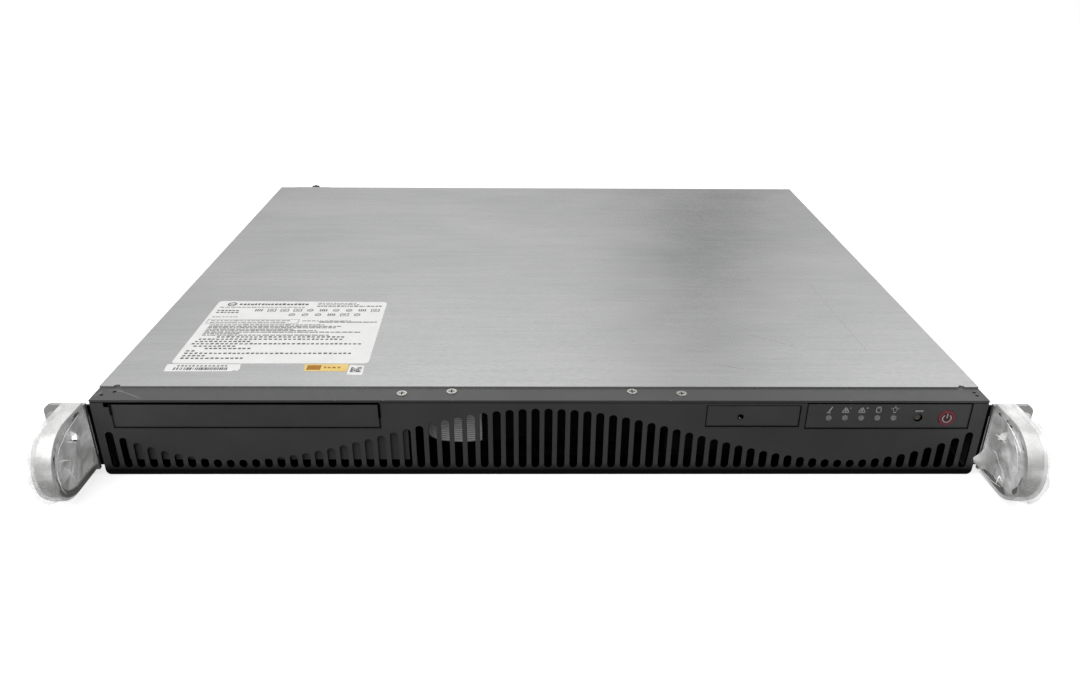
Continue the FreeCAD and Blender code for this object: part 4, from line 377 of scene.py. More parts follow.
def packing_film(name, haze, painted_glow):
    """Polythene film, blown thin and crumpled: milky folds with sharp highlights between clearer patches.

    The light that passes through the film is painted on as a glow: what faces straight up glows, and what faces
    the white floor close by glows a little."""
    base = "FFFFFF"
    item, tree, shader = material(name, base, {
        "IOR": 1.5, "Coat Weight": 0.8, "Coat Roughness": 0.05, "Emission Color": linear(base)})
    normal = add(tree, "NewGeometry").outputs["True Normal"]
    facing = add(tree, "SeparateXYZ", {}, {"Vector": normal}).outputs["Z"]
    level = add(tree, "Math", {"operation": "ABSOLUTE"}, {0: facing})
    height = axes(tree)["Z"]
    top = add(tree, "MapRange", span(18 * MM, 25 * MM), {"Value": height})
    foot = add(tree, "MapRange", span(3 * MM, 12 * MM, 0.7, 0), {"Value": height})
    glow_heights = add(tree, "Math", {"operation": "MAXIMUM"}, {0: top, 1: foot})
    painted_glow_mask = add(tree, "Math", {"operation": "MULTIPLY"}, {0: level, 1: glow_heights})
    folds = noise_of(tree, 9, (1, 1.6, 0.8), 4.0, 0.6)
    facets = patches(tree, 11, reach=(0.38, 0.6), stretch=(1, 1.3, 0.9), detail=1.0)
    crumple = relief(tree, 8, 2.4, 0.8, detail=2.0)
    # Painted glow: emission on film that faces up or down, near its top and near the floor.
    for socket, value, run in (("Emission Strength", painted_glow_mask, span(0, 0.7, *painted_glow)),
                               ("Alpha", folds, span(0.34, 0.66, *haze)),
                               ("Roughness", folds, span(0.3, 0.7, 0.10, 0.24))):
        feed(tree, shader, {socket: add(tree, "MapRange", run, {"Value": value})})
    feed(tree, shader, {
        "Base Color": layered(tree, "C4C4C3", (facets, base)),
        "Normal": relief(tree, 1.6, 0.15, 0.5, crumple, roughness=0.6),
    })
    return item


def label_stock(name, base, worn):
    """Coated label paper, printed flat: slightly uneven white with a faint sheen."""
    return textured(name, base, worn, 9, (0.42, 0.55), 0.5, 0.01)


def make_finishes():
    """Every finish by a short key."""
    colours = setting("colours")
    return {
        "cover": cover_steel(),
        # Shade is painted behind the face and at its foot.
        "coat": with_painted_shade(powder_coat("Powder-coated steel")),
        # The bay bracket's steel, coated in the same bath: plain black-grey back and front.
        "bracket": powder_coat("Powder-coated bracket steel"),
        "handle": satin_handle(),
        "board": circuit_board(),
        "cable": flat_cable(),
        # The last pair of numbers is each film's painted glow.
        "film": packing_film("Milky polythene film", (0.62, 0.9), (0.06, 0.30)),
        "seam": packing_film("Clear polythene film", (0.25, 0.55), (0.04, 0.58)),
        # Painted highlights along the film's sharp folds.
        "crease_highlight": packing_film("Painted crease highlights on polythene film", (0.6, 0.95), (0.45, 0.55)),
        "drive": drive_skin(),
        "tray": tray_steel(),
        "paper": label_stock("White label paper", colours.paper, "ECECEA"),
        "yellow": label_stock("Yellow label paper", colours.yellow, "E9C66E"),
        # Plain zinc-coated sheet: the same stock as the cover, unbrushed.
        "zinc": textured("Rolled zinc-coated steel", "A9ABAC", "959799", 12, (0.36, 0.5), 1.5, 0.02, 0.9),
        # ABS, spark-textured in the mould: dull, with a grain just coarse enough to see. Shade is painted behind
        # the face and at its foot.
        "abs": with_painted_shade(textured("Spark-textured black ABS", "414142", "474748", 18, (0.34, 0.44), 0.5, 0.03,
                                  sockets={"Specular IOR Level": 0.65})),
        # Nickel on steel, turned: bright with fine turning marks.
        "nickel": textured("Nickel-plated steel", "D2D1CC", "BDBCB7", 3, (0.2, 0.34), 0.25, 0.02, 1.0),
        # Flame-proof ABS of the inner ducts, moulded: black and dull, and painted darker than the plastic itself
        # for the shade inside the case; the painted shadow lines round the plates use it too.
        "duct_in_shade": textured("Moulded black duct ABS", "060607", "09090A", 18, (0.5, 0.6), 0.5, 0.04,
                         sockets={"Specular IOR Level": 0.15}),
        # Blackened steel, recessed: only its rim catches the light.
        "black_screw": textured("Blackened steel", "1C1C1C", "2A2A2A", 3, (0.2, 0.3), 0.25, 0.02, 1.0),
        # Polyamide, moulded: near-black and slightly glossy.
        "nylon": textured("Moulded black nylon", "1B1B1C", "232324", 8, (0.4, 0.52), 0.8, 0.03),
        # Acrylic light pipe, moulded: smoky grey and smooth.
        "lens": textured("Moulded smoky acrylic", "8E8E8E", "7C7C7C", 2, (0.18, 0.28), 0.5, 0.01,
                         sockets={"Coat Weight": 0.4}),
        "red": tinted_button(),
        # Reset cap, moulded in grey-brown ABS: a small dull cap.
        "brown": textured("Moulded grey-brown ABS", "6A625A", "5C554E", 2, (0.3, 0.4), 0.5, 0.01),
        # Extruded aluminium: bright, with draw lines along the fins.
        "fins": textured("Extruded aluminium", "C9CACB", "B6B7B9", 10, (0.26, 0.38), 0.5, 0.03, 1.0,
                         grain_stretch=(1, 30, 1)),
        # Die-cast aluminium: dull grey skin with flow patches.
        "cast": textured("Die-cast aluminium", "9FA1A3", "8B8D90", 10, (0.42, 0.56), 0.9, 0.06, 0.9),
        # Brass, turned from hexagon bar: warm yellow, with fine turning marks.
        "brass": textured("Turned brass", "C9A45A", "B08D45", 3, (0.24, 0.36), 0.3, 0.02, 1.0),
        # Glass-filled polyester, moulded: dull ivory sockets.
        "ivory": textured("Moulded ivory polyester", "D6CFB8", "C8C0A6", 6, (0.42, 0.52), 0.5, 0.03),
        # Black ink, printed on paper: flat and slightly uneven in tone.
        "ink": textured("Black label ink", colours.ink, "5C5C5E", 1.2, (0.5, 0.6), 0.5, 0.0),
        # Bare steel where the zinc or the coat is rubbed off: thin bright lines. The same finish makes the
        # painted glints and highlights on the front.
        "scratch_and_glint": textured("Rubbed bare steel and painted glints", "C2C2C0", "9E9E9C", 2, (0.3, 0.5), 0.3, 0.0, 0.6),
        # Light grey ink, screen-printed on the panel: flat signs.
        "mark": textured("Grey screen-printed ink", "BEBEBE", "A8A8A8", 1.2, (0.45, 0.55), 0.5, 0.0),
        # Brown ink, printed on paper: a flat warm block.
        "amber": textured("Brown label ink", "B07A1E", "A06A12", 1.2, (0.5, 0.6), 0.5, 0.0),
    }


FINISHES = {}

NODE_FINISH = {
    "cover": ("top_cover",),
    "tray": ("chassis_tray",),
    "drive": ("hard_drive_left", "hard_drive_right"),
    "zinc": ("rear_panel", "power_supply_case", "io_shield"),
    "coat": ("front_panel", "ear_bracket_left", "ear_bracket_right"),
    "bracket": ("optical_bay_bracket",),
    "handle": ("handle_left", "handle_right"),
    "abs": ("optical_bay_blank", "port_bay_blank", "control_panel_plate"),
    "duct_in_shade": ("blower_housing", "air_shroud", "blower_bracket", "ribbon_plugs"),
    "brown": ("reset_button",),
    "nylon": ("cover_thumbscrew", "power_supply_fan_frame", "power_supply_fan", "power_inlet", "blower_impeller",
              "board_components", "memory_sockets"),
    "black_screw": ("port_bay_screw",),
    "nickel": ("strip_screws", "ear_screws", "fan_guard", "board_screws", "heatsink_screws",
               "drive_screws", "slot_cover", "keyboard_port", "usb_ports", "serial_port", "video_port",
               "network_ports"),
    "board": ("control_board", "motherboard", "memory_modules", "riser_card", "power_supply_circuit"),
    "fins": ("processor_heatsink", "chipset_heatsink"),
    "cast": ("processor",),
    "brass": ("board_standoffs",),
    "ivory": ("board_sockets", "memory_latch_inner_front", "memory_latch_inner_rear", "memory_latch_outer_front",
              "memory_latch_outer_rear"),
    "cable": ("control_ribbon",),
    "lens": ("status_lenses",),
    "red": ("power_button",),
    "film": ("handle_film_left", "handle_film_right"),
}


# Mesh helpers -------------------------
def piece(name, points, faces, finish, body, slot, smooth=False):
    """A mesh piece in the row frame that rides on a body."""
    mesh = bpy.data.meshes.new(name)
    mesh.from_pydata([tuple(p) for p in points], [], faces)
    mesh.update()
    mesh.materials.append(FINISHES[finish])
    if smooth:
        mesh.shade_smooth()
    item = bpy.data.objects.new(name, mesh)
    bpy.context.scene.collection.objects.link(item)
    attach(item, body)
    return item


def sided(name, side):
    """The name of the right-hand or the left-hand one; side is 1 or -1."""
    return name + ("_right" if side > 0 else "_left")


def on_cover(x, y, lift=0.0):
    """A point on the cover, x and y in millimetres from the front panel's middle."""
    return Vector((x * MM, y * MM + FACE_Y, COVER_TOP + lift))


def on_face(x, z, lift=0.0):
    """A point on the front face, x and z in millimetres."""
    return Vector((x * MM, FACE_Y - lift, z * MM))


class Sheet:
    """Faces gathered into one mesh, laid out in a plane that two directions span."""

    def __init__(self, origin, along, up, lift):
        self.origin, self.along, self.up = origin, along.normalized(), up.normalized()
        self.origin = self.origin + self.along.cross(self.up) * lift
        self.points, self.faces = [], []

    def spot(self, x, y):
        """The place of a point given in millimetres on the sheet."""
        return self.origin + self.along * (x * MM) + self.up * (y * MM)

    def polygon(self, corners):
        start = len(self.points)
        self.points += [self.spot(x, y) for x, y in corners]
        self.faces.append(tuple(range(start, start + len(corners))))

    def bar(self, x, y, wide, tall):
        self.polygon([(x, y), (x + wide, y), (x + wide, y + tall), (x, y + tall)])

    def stroke(self, path, width, closed=False):
        """A line of even width along a path, as one quad for each run."""
        ends = zip(path, path[1:] + path[:1]) if closed else zip(path, path[1:])
        for (x0, y0), (x1, y1) in ends:
            run = Vector((x1 - x0, y1 - y0))
            run.normalize()
            side = Vector((-run.y, run.x)) * width / 2
            run = run * width / 2
            self.polygon([
                (x0 - run.x - side.x, y0 - run.y - side.y), (x1 + run.x - side.x, y1 + run.y - side.y),
                (x1 + run.x + side.x, y1 + run.y + side.y), (x0 - run.x + side.x, y0 - run.y + side.y)])

    def ring(self, x, y, radius, width, start=0, end=360, steps=20):
        """An arc or a ring of even width."""
        turns = [math.radians(start + (end - start) * i / steps) for i in range(steps + 1)]
        inner, outer = radius - width / 2, radius + width / 2
        for a, b in zip(turns, turns[1:]):
            self.polygon([(x + math.cos(a) * inner, y + math.sin(a) * inner),
                          (x + math.cos(a) * outer, y + math.sin(a) * outer),
                          (x + math.cos(b) * outer, y + math.sin(b) * outer),
                          (x + math.cos(b) * inner, y + math.sin(b) * inner)])

    def make(self, name, finish, body, slot):
        piece(name, self.points, self.faces, finish, body, slot)


# Labels on the cover ------------------
ON_COVER = ("top_cover", "galvanised_cover")      # body and slot of what is stuck or printed on the cover


def label_sheet(name, corners, finish, radius, torn=()):
    """Label stock with round corners, apart from torn ones; corners run anticlockwise from the lower left."""
    glue, runs = 0.01 * MM, 5
    rim = []
    for i, corner in enumerate(corners):
        here = Vector(corner)
        back = (Vector(corners[i - 1]) - here).normalized()
        ahead = (Vector(corners[(i + 1) % len(corners)]) - here).normalized()
        if i in torn:
            rim.append(here)
            continue
        for step in range(runs + 1):
            t = step / runs
            rim.append(here + back * radius * (1 - t) ** 2 + ahead * radius * t ** 2)
    top = [on_cover(p.x, p.y, setting("print").sheet) for p in rim]
    low = [on_cover(p.x, p.y, glue) for p in rim]
    n = len(rim)
    faces = [tuple(range(n))]
    faces += [(i, i + n, (i + 1) % n + n, (i + 1) % n) for i in range(n)]
    piece(name, top + low, faces, finish, *ON_COVER)


def print_lift():
    """Height of print over the cover: on top of the label stock."""
    return setting("print").sheet + setting("print").mark_lift


def printed_line(sheet, rng, x, y, length, tall, ragged, gap=0.25):
    """A line of greeked words: bars of unequal length and slightly unequal height."""
    end = x + length
    while x < end - tall:
        word = min(rng.uniform(*ragged), end - x)
        reach = tall * rng.uniform(0.75, 1.0)
        sheet.bar(x, y, word, reach)
        x += word + tall * gap + rng.uniform(0.1, 0.5)


def blank_sign(sheet, kind, x, y):
    """A sign without a meaning, 3.2 mm tall."""
    if kind == "ring":
        sheet.ring(x, y + 1.6, 1.6, 0.6, steps=14)
        sheet.bar(x - 0.8, y + 1.3, 1.6, 0.6)
    elif kind == "box":
        sheet.stroke([(x - 2, y), (x + 2.4, y), (x + 2.4, y + 3.2), (x - 2, y + 3.2)], 0.5, True)
        sheet.bar(x - 1, y + 1.2, 2.2, 0.9)
    else:
        for bar in range(4):
            sheet.bar(x - 2 + bar * 1.2, y, 0.7, 3.2)


# Lines of the main label, in mm on it: place along and up, length, height, range of the words' lengths, and the
# gap between words as a share of the height where it isn't the usual one.
LINES_OVER_SIGNS = (
    (13.5, 76.2, 42, 2.6, (1.2, 2.0), 0.12), (60, 78.6, 24, 0.9, (1, 3)), (60, 76.4, 26, 0.9, (1, 3)),
    (60, 74.0, 40, 1.4, (1, 2.5)), (3, 72.6, 50, 0.9, (1, 3)))
LINES_BESIDE_SIGNS = ((3, 67.4, 13, 1.6, (1, 2)), (3, 64.6, 13, 1.6, (1, 2)), (3, 58.6, 16, 0.9, (1, 3)))
LINES_IN_BOX = (
    (4, 53.2, 46, 0.9, (1, 3)), (4, 51.0, 44, 0.9, (1, 3)), (56, 53.0, 28, 0.9, (1, 3)),
    (66, 51.2, 33, 1.3, (2, 5), 0.1))
# Start and length of each large line.
LARGE_LINES = ((14, 72), (5, 80), (4, 32), (3, 92), (5, 24), (12, 26), (3, 6), (3, 90), (3, 14), (3, 34))


def main_label():
    """The large white label: a heading, two rows of blank signs and many greeked lines."""
    corners = [(-192.5, 37.0), (-90.1, 37.3), (-91.9, 118.4), (-192.9, 119.5)]
    label_sheet("main_label", corners, "paper", 3.0)
    rng = random.Random(11)
    origin, right, up = Vector(corners[0]), Vector(corners[1]), Vector(corners[3])
    along, across = Vector((*(right - origin), 0)), Vector((*(up - origin), 0))
    sheet = Sheet(on_cover(*origin), along, across, print_lift())
    sheet.ring(9, 77.5, 2.3, 0.9)
    sheet.bar(7.4, 77.1, 3.2, 0.8)
    for line in LINES_OVER_SIGNS:
        printed_line(sheet, rng, *line)
    for height, count, first in ((67.0, 10, 27.0), (60.6, 6, 48.0)):
        for index in range(count):
            blank_sign(sheet, rng.choice(("ring", "box", "bars", "ring")), first + index * 7.6, height)
    for line in LINES_BESIDE_SIGNS:
        printed_line(sheet, rng, *line)
    sheet.stroke([(2, 50.0), (54, 50.0), (54, 55.4), (2, 55.4)], 0.3, True)
    for line in LINES_IN_BOX:
        printed_line(sheet, rng, *line)
    y, small_pitch = 47.4, 1.95
    for length in (66, 76, 72, 50, 62, 88, 20, 70):
        printed_line(sheet, rng, 5, y, length, 1.15, (1.2, 3.6), 0.2)
        y -= small_pitch
    for start, length in LARGE_LINES:
        printed_line(sheet, rng, start, y - 0.6, length, 1.7, (1.4, 1.9), 0.35)
        y -= setting("print").line_pitch / MM
    sheet.make("main_label_print", "ink", *ON_COVER)


def barcode_label():
    """A narrow label with bars over a greeked number; its right end is torn."""
    rng = random.Random(5)
    corners = [(-192.9, 28.1), (-158.4, 28.3), (-157.2, 29.6), (-155.6, 28.2), (-154.9, 31.0),
               (-156.0, 36.2), (-193.8, 36.1)]
    label_sheet("barcode_label", corners, "paper", 1.2, torn=(1, 2, 3, 4, 5))
    sheet = Sheet(on_cover(*corners[0]), Vector((1, 0.003, 0)), BACK, print_lift())
    x, last = 4.0, 31
    while x < last:
        wide = rng.choice((0.35, 0.5, 0.8, 1.1))
        sheet.bar(x, 1.4, wide, 2.8)
        x += wide + rng.choice((0.3, 0.45, 0.8))
    printed_line(sheet, rng, 5, 5.3, 27, 1.5, (1.0, 1.4), 0.35)
    sheet.make("barcode_label_print", "ink", *ON_COVER)


def small_labels():
    """The yellow label and the little square-code label beside it."""
    rng = random.Random(8)
    yellow = [(-121.7, 28.7), (-99.6, 28.4), (-99.9, 36.4), (-122.6, 36.3)]
    label_sheet("yellow_label", yellow, "yellow", 0.4)
    square = [(-99.2, 24.9), (-91.2, 24.4), (-91.7, 34.6), (-99.3, 35.5)]
    label_sheet("square_code_label", square, "paper", 0.5)
    amber = Sheet(on_cover(*yellow[0]), ACROSS, BACK, print_lift())
    amber.bar(0.8, 1.2, 7.2, 5.2)
    printed_line(amber, rng, 9.5, 3.0, 11, 2.0, (1, 1.8), 0.3)
    amber.make("yellow_label_print", "amber", *ON_COVER)
    code = Sheet(on_cover(-98.0, 27.4), ACROSS, BACK, print_lift())
    cells, cell = 11, 0.5
    for column in range(cells):
        for row in range(cells):
            if column == 0 or row == 0 or rng.random() < 0.5:
                code.bar(column * cell, row * cell, cell, cell)
    code.make("square_code_print", "ink", *ON_COVER)


def handling_marks():
    """Light scratches on the cover, rubbed spots on the strip's corner, and painted glints along the strip's
    front edge.
    """
    lift = 0.02 * MM
    cover = Sheet(on_cover(0, 0), ACROSS, BACK, lift)
    runs = (((172.8, 154.6), (174.0, 118.0), (176.4, 52.9)), ((78.6, 41.9), (98.0, 34.0), (117.7, 28.3)),
            ((116.0, 74.2), (137.8, 58.9)), ((106.6, 309.4), (127.6, 291.2)))
    for run in runs:
        cover.stroke(list(run), 0.22)
    for x, y in ((119.2, 161.3), (87.3, 67.6), (50.9, 64.9)):
        cover.stroke([(x - 0.5, y), (x + 0.5, y + 0.4)], 0.5)
    cover.make("cover_scratches", "scratch_and_glint", *ON_COVER)
    strip = Sheet(Vector((0, FACE_Y, FACE_TOP)), ACROSS, BACK, lift)
    for run in (((-209.0, 10.1), (-201.0, 5.8), (-195.1, 2.2)), ((-212.5, 9.6), (-209.6, 10.6)),
                ((-217.2, 4.1), (-215.8, 8.2)), ((-208.0, 8.4), (-206.3, 10.2))):
        strip.stroke(list(run), 0.2)
    # Painted glints along the strip's front edge.
    for x in (-100.6, -77.3, -43.9, 62.0, 150.0):
        strip.stroke([(x, 0.15), (x + 0.7, 0.15)], 0.2)
    strip.make("strip_scratches_and_glints", "scratch_and_glint", "chassis", "black_paint")


# Marks, painted shadow lines and painted highlights on the front ---------
PAINTED_LINE_LIFT = 0.35 * MM     # how far the painted shadow lines and highlights stand in front of the face


def bay_shadow_lines():
    """Painted shadow lines in the gaps round the plates in the bays, a painted glint on the port-bay screw and
    painted highlights on the ears' edges.
    """
    sheet = Sheet(on_face(0, 0), ACROSS, UP, PAINTED_LINE_LIFT)
    low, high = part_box("optical_bay_blank")
    left, sill, right, head = low.x / MM, low.z / MM, high.x / MM, high.z / MM
    # Painted shadow lines in the gaps round the optical-bay plate.
    sheet.stroke([(left, sill - 0.1), (right, sill - 0.1)], 0.7)
    sheet.stroke([(right + 0.1, sill), (right + 0.1, head)], 0.7)
    sheet.stroke([(right + 0.2, head - 6.5), (right + 0.2, head)], 1.3)
    sheet.stroke([(left, sill), (left, head - 4)], 0.45)
    sheet.stroke([(left - 0.1, head - 5), (left - 0.1, head)], 1.3)
    beside, under, over = 1.4, 1.2, 0.5       # from the rim behind a plate to the middle of the gap round it
    # Painted shadow lines in the gaps round the port-bay plate and the control panel plate.
    for name in ("port_bay_blank", "control_panel_plate"):
        low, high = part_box(name)
        left, right = low.x / MM + beside, high.x / MM - beside
        sill, head = low.z / MM + under, high.z / MM - over
        sheet.stroke([(left, sill), (right, sill)], 0.65)
        sheet.stroke([(right, sill), (right, head)], 0.55)
        sheet.stroke([(left, sill), (left, head)], 0.35)
    sheet.make("bay_shadow_lines", "duct_in_shade", "chassis", "black_plastic")
    # Painted glint on the port-bay screw.
    low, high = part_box("port_bay_screw")
    centre = Vector(((low.x + high.x) / 2, FACE_Y, (low.z + high.z) / 2))
    glint = Sheet(centre, ACROSS, UP, PAINTED_LINE_LIFT)
    glint.ring(0, 0, 0.75, 0.4, 170, 300, 8)
    glint.make("port_screw_glint", "scratch_and_glint", "chassis", "bright_screw")
    # Painted highlights along the ears' bent edges.
    edge = Sheet(on_face(0, 0), ACROSS, UP, PAINTED_LINE_LIFT)
    for x in (-220.0, 220.0):
        edge.stroke([(x, 12.6), (x, 34.0)], 0.35)
    edge.make("ear_edge_highlights", "scratch_and_glint", "chassis", "handle_metal")


def lens_marks():
    """A small sign over each lens, and the arc and stroke on the power button."""
    lift = setting("print").mark_lift
    low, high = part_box("status_lenses")
    first = low.x / MM + 1.45
    sheet = Sheet(on_face(0, 0), ACROSS, UP, lift)
    pitch, up = 8, 37.6
    x = first
    sheet.stroke([(x - 0.6, up - 1.5), (x + 0.9, up + 1.5)], 0.55)
    sheet.stroke([(x - 1.2, up - 1.6), (x + 0.3, up - 1.6)], 0.5)
    for index in (1, 2):
        x = first + index * pitch
        sheet.stroke([(x - 1.9, up - 1.4), (x + 1.5, up - 1.4), (x - 0.2, up + 1.5)], 0.42, True)
        sheet.bar(x - 0.5, up - 1.0, 0.6, 1.4)
        for dot in range(index):
            sheet.bar(x + 1.9 + dot * 0.5, up + 0.6, 0.3, 0.8)
    x = first + 3 * pitch
    box = [(x - 1.1, up - 1.4), (x + 1.1, up - 1.4), (x + 1.1, up + 1.1), (x - 1.1, up + 1.1)]
    sheet.stroke(box, 0.4, True)
    sheet.stroke([(x - 1.1, up + 1.6), (x + 1.1, up + 1.6)], 0.3)
    x = first + 4 * pitch
    sheet.ring(x, up + 0.3, 1.0, 0.32, -60, 240)
    sheet.stroke([(x - 0.4, up - 1.4), (x + 0.4, up - 1.4)], 0.5)
    for turn in (20, 90, 160):
        a = math.radians(turn)
        sheet.stroke([(x + math.cos(a) * 1.6, up + 0.3 + math.sin(a) * 1.6),
                      (x + math.cos(a) * 2.1, up + 0.3 + math.sin(a) * 2.1)], 0.25)
    low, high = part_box("reset_button")
    x = (low.x + high.x) / 2 / MM
    for dash in range(5):
        sheet.bar(x - 1.9 + dash * 0.78, up - 1.0, 0.6, 0.75)
    sheet.make("lens_marks", "mark", "chassis", "lens_grey")
    low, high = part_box("power_button")
    centre = (low + high) / 2
    symbol = Sheet(Vector((centre.x, low.y, centre.z)), ACROSS, UP, lift)
    symbol.ring(0, -0.2, 2.1, 0.55, 125, 415, 28)
    symbol.stroke([(0, 0.2), (0, 2.3)], 0.55)
    symbol.make("power_symbol", "mark", "power_button", "button_red")


# Packing film -------------------------
TEAR = ((-17.2, 29.4), (-10.4, 30.4), (-10.2, 26.0), (-14.0, 27.0))   # in the left bag, y and z in mm


def bag_rim(mouth, leg_y, mid_z, radius):
    """Side view of a bag: top leg, bow in front, bottom leg, then back up along the ear."""
    rim = []
    legs, bow, back = 12, 48, 14              # runs along each part
    for i in range(legs):
        rim.append((mouth + (leg_y - mouth) * i / legs, mid_z + radius))
    for i in range(bow + 1):
        angle = math.pi * i / bow
        rim.append((leg_y - math.sin(angle) * radius, mid_z + math.cos(angle) * radius))
    for i in range(1, legs + 1):
        rim.append((leg_y + (mouth - leg_y) * i / legs, mid_z - radius))
    hoop = len(rim)
    for i in range(1, back):
        rim.append((mouth, mid_z - radius + 2 * radius * i / back))
    return [Vector((0, y, z)) for y, z in rim], hoop


def inside(shape, y, z):
    """Whether a place lies inside a polygon."""
    found = False
    for (y0, z0), (y1, z1) in zip(shape, shape[1:] + shape[:1]):
        if (z0 > z) != (z1 > z) and y < (y1 - y0) * (z - z0) / (z1 - z0) + y0:
            found = not found
    return found


def film_bag(side):
    """A loose bag over a handle: crumpled sheets on both sides of the loop, joined round the bar."""
    film = setting("film")
    name = sided("handle_film", side)
    low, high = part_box(sided("handle", side))
    mid_z = (low.z + high.z) / 2
    leg_y = low.y + (high.z - low.z) / 2
    radius = (high.z - low.z) / 2 + film.slack
    inner, outer = sorted((corner.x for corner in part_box(name)), key=abs)
    mouth = FACE_Y - 0.3 * MM                 # clear of the face
    rim, hoop = bag_rim(mouth, leg_y, mid_z, radius)
    hub = Vector((0, mouth - 15 * MM, mid_z))
    rings, skirt = 16, 6                      # rows of faces on the sheets and round the bar
    clear_from = mid_z - 0.78 * radius        # the film round the bar is milky below this height
    points, faces, clear = [], [], []

    def drawn(at):
        """How far the inner sheet leaves its plane: drawn in below, and caught by one corner at the right ear."""
        below = min(max(0.0, 1 - (at.z - low.z) / (12 * MM)), 1) ** 0.8
        near_ear = max(0.0, 1 - (mouth - at.y) / (9 * MM))
        corner = max(0.0, 1 - abs(at.z - low.z - 6 * MM) / (5.5 * MM)) if side > 0 else 0.0
        return side * (below * (0.8 if side > 0 else 2.4) - near_ear ** 2 * corner * 6.0) * MM

    def sheet_point(i, j, x, inward):
        """A point of a side sheet: soft folds and sharper ridges, calm at the hub and at the rim."""
        k = j / rings
        at = hub.lerp(rim[i], k)
        flare = drawn(at) if x == inner else 0.0
        fold = noise.noise(Vector((at.y * 95, at.z * 60, side * 5 + x * 40)))
        ridge = 1 - abs(noise.noise(Vector((at.y * 150 + 4, at.z * 110, side * 3 - x * 30)))) * 2
        calm = min(k * 2.2, 1) * math.sin(math.pi * min(k + 0.05, 1)) ** 0.5
        depth = (fold * 1.0 + max(0.0, ridge - 0.5) * 1.2) * film.crinkle * calm
        sag = math.sin(math.pi * min(k, 1.0)) * film.crinkle * 0.8
        return Vector((x + flare + side * inward * (sag + depth), at.y, at.z))

    count = len(rim)
    for x, inward in ((inner, 1), (outer, -1)):
        base = len(points)
        for i in range(count):
            for j in range(rings + 1):
                points.append(sheet_point(i, j, x, inward))
        for i in range(count):
            for j in range(rings):
                a, b = base + i * (rings + 1) + j, base + ((i + 1) % count) * (rings + 1) + j
                middle = (points[a] + points[b + 1]) / 2
                torn = side < 0 and x == inner and inside(TEAR, (middle.y - FACE_Y) / MM, middle.z / MM)
                if not torn:
                    faces.append((a, b, b + 1, a + 1))
                    clear.append(0)
    base = len(points)
    for i in range(hoop):
        swell = noise.noise(Vector((i * 0.21, side * 4.0, 2.0))) * 0.35 + 0.5
        for j in range(skirt + 1):
            t = j / skirt
            bulge = (rim[i] - hub).normalized() * math.sin(math.pi * t) * swell * film.slack * 0.5
            start = inner + drawn(rim[i])
            points.append(Vector((start + (outer - start) * t, rim[i].y, rim[i].z)) + bulge)
    for i in range(hoop - 1):
        for j in range(skirt):
            a = base + i * (skirt + 1) + j
            faces.append((a, a + skirt + 1, a + skirt + 2, a + 1))
            clear.append(1 if rim[i].z > clear_from else 0)
    item = piece(sided("packing_film", side), points, faces, "film", "chassis", "clear_film", True)
    item.data.materials.append(FINISHES["seam"])
    for face, index in zip(item.data.polygons, clear):
        face.material_index = index
    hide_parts(name)
    film_seam(side, rim[6:hoop - 8], hub, outer)      # short of the mouth at both ends
    film_crease_highlights(side, inner - side * 0.5 * MM)       # just clear of the inner sheet


def film_seam(side, rim, hub, x):
    """The clear welded edge that stands off the outer side of a bag."""
    points, faces = [], []
    last = len(rim) - 1
    for i, spot in enumerate(rim):
        away = (spot - hub).normalized()
        sway = noise.noise(Vector((i * 0.17, side * 9.0, 0)))
        reach = max((2.0 + sway * 1.8) * MM * math.sin(math.pi * i / last) ** 0.4, 0.0)
        for j in range(4):
            t = j / 3
            at = spot + away * (0.2 * MM + reach * t)
            points.append(Vector((x + side * 0.5 * MM * math.sin(i * 0.7) * t, at.y, max(at.z, 0.4 * MM))))
    for i in range(last):
        for j in range(3):
            a = i * 4 + j
            faces.append((a, a + 4, a + 5, a + 1))
    piece(sided("film_seam", side), points, faces, "seam", "chassis", "clear_film", True)


# Painted highlights on the inner sheets, along sharp creases and, in each side's first run, along the ear plate's
# edge: runs of places along and up in millimetres, each with its width.
CREASE_HIGHLIGHTS = {
    -1: (
        (0.3, ((-0.4, 36.4), (-0.4, 24.0), (-0.4, 10.5))),
        (0.5, ((-3, 39.0), (-10, 38.0), (-20, 36.2), (-28, 33.0), (-32, 29.0))),
        (0.3, ((-32.5, 28.5), (-34.6, 22.0), (-34, 15.0), (-31.0, 9.5))),
        (0.3, ((-32.4, 28.3), (-27, 26.0), (-20.9, 22.3))),
        (0.35, ((-21.6, 32.8), (-17.6, 30.0), (-10.0, 30.6))),
        (0.25, ((-29.5, 24.9), (-25.0, 18.5), (-22.3, 13.1), (-21.2, 7.0))),
    ),
    1: (
        (0.3, ((-0.4, 35.0), (-0.4, 24.0), (-0.4, 12.0))),
        (0.6, ((-7.5, 39.6), (-14.9, 38.2), (-21.3, 36.6), (-28.3, 33.2), (-32.6, 28.8))),
        (0.4, ((-20.3, 36.3), (-24.2, 33.2), (-27.3, 30.7), (-30.7, 22.9), (-28.0, 11.2))),
        (0.9, ((-6.8, 28.0), (-12.3, 29.2), (-17.3, 29.0))),
        (0.45, ((-7.9, 19.5), (-11.7, 20.2), (-16.3, 16.9), (-22.6, 14.3))),
        (0.4, ((-1.0, 6.6), (-6.8, 5.2), (-14.5, 5.6), (-22.9, 7.6))),
        (0.5, ((-17.6, 6.1), (-18.9, 11.7), (-23.5, 10.3))),
    ),
}


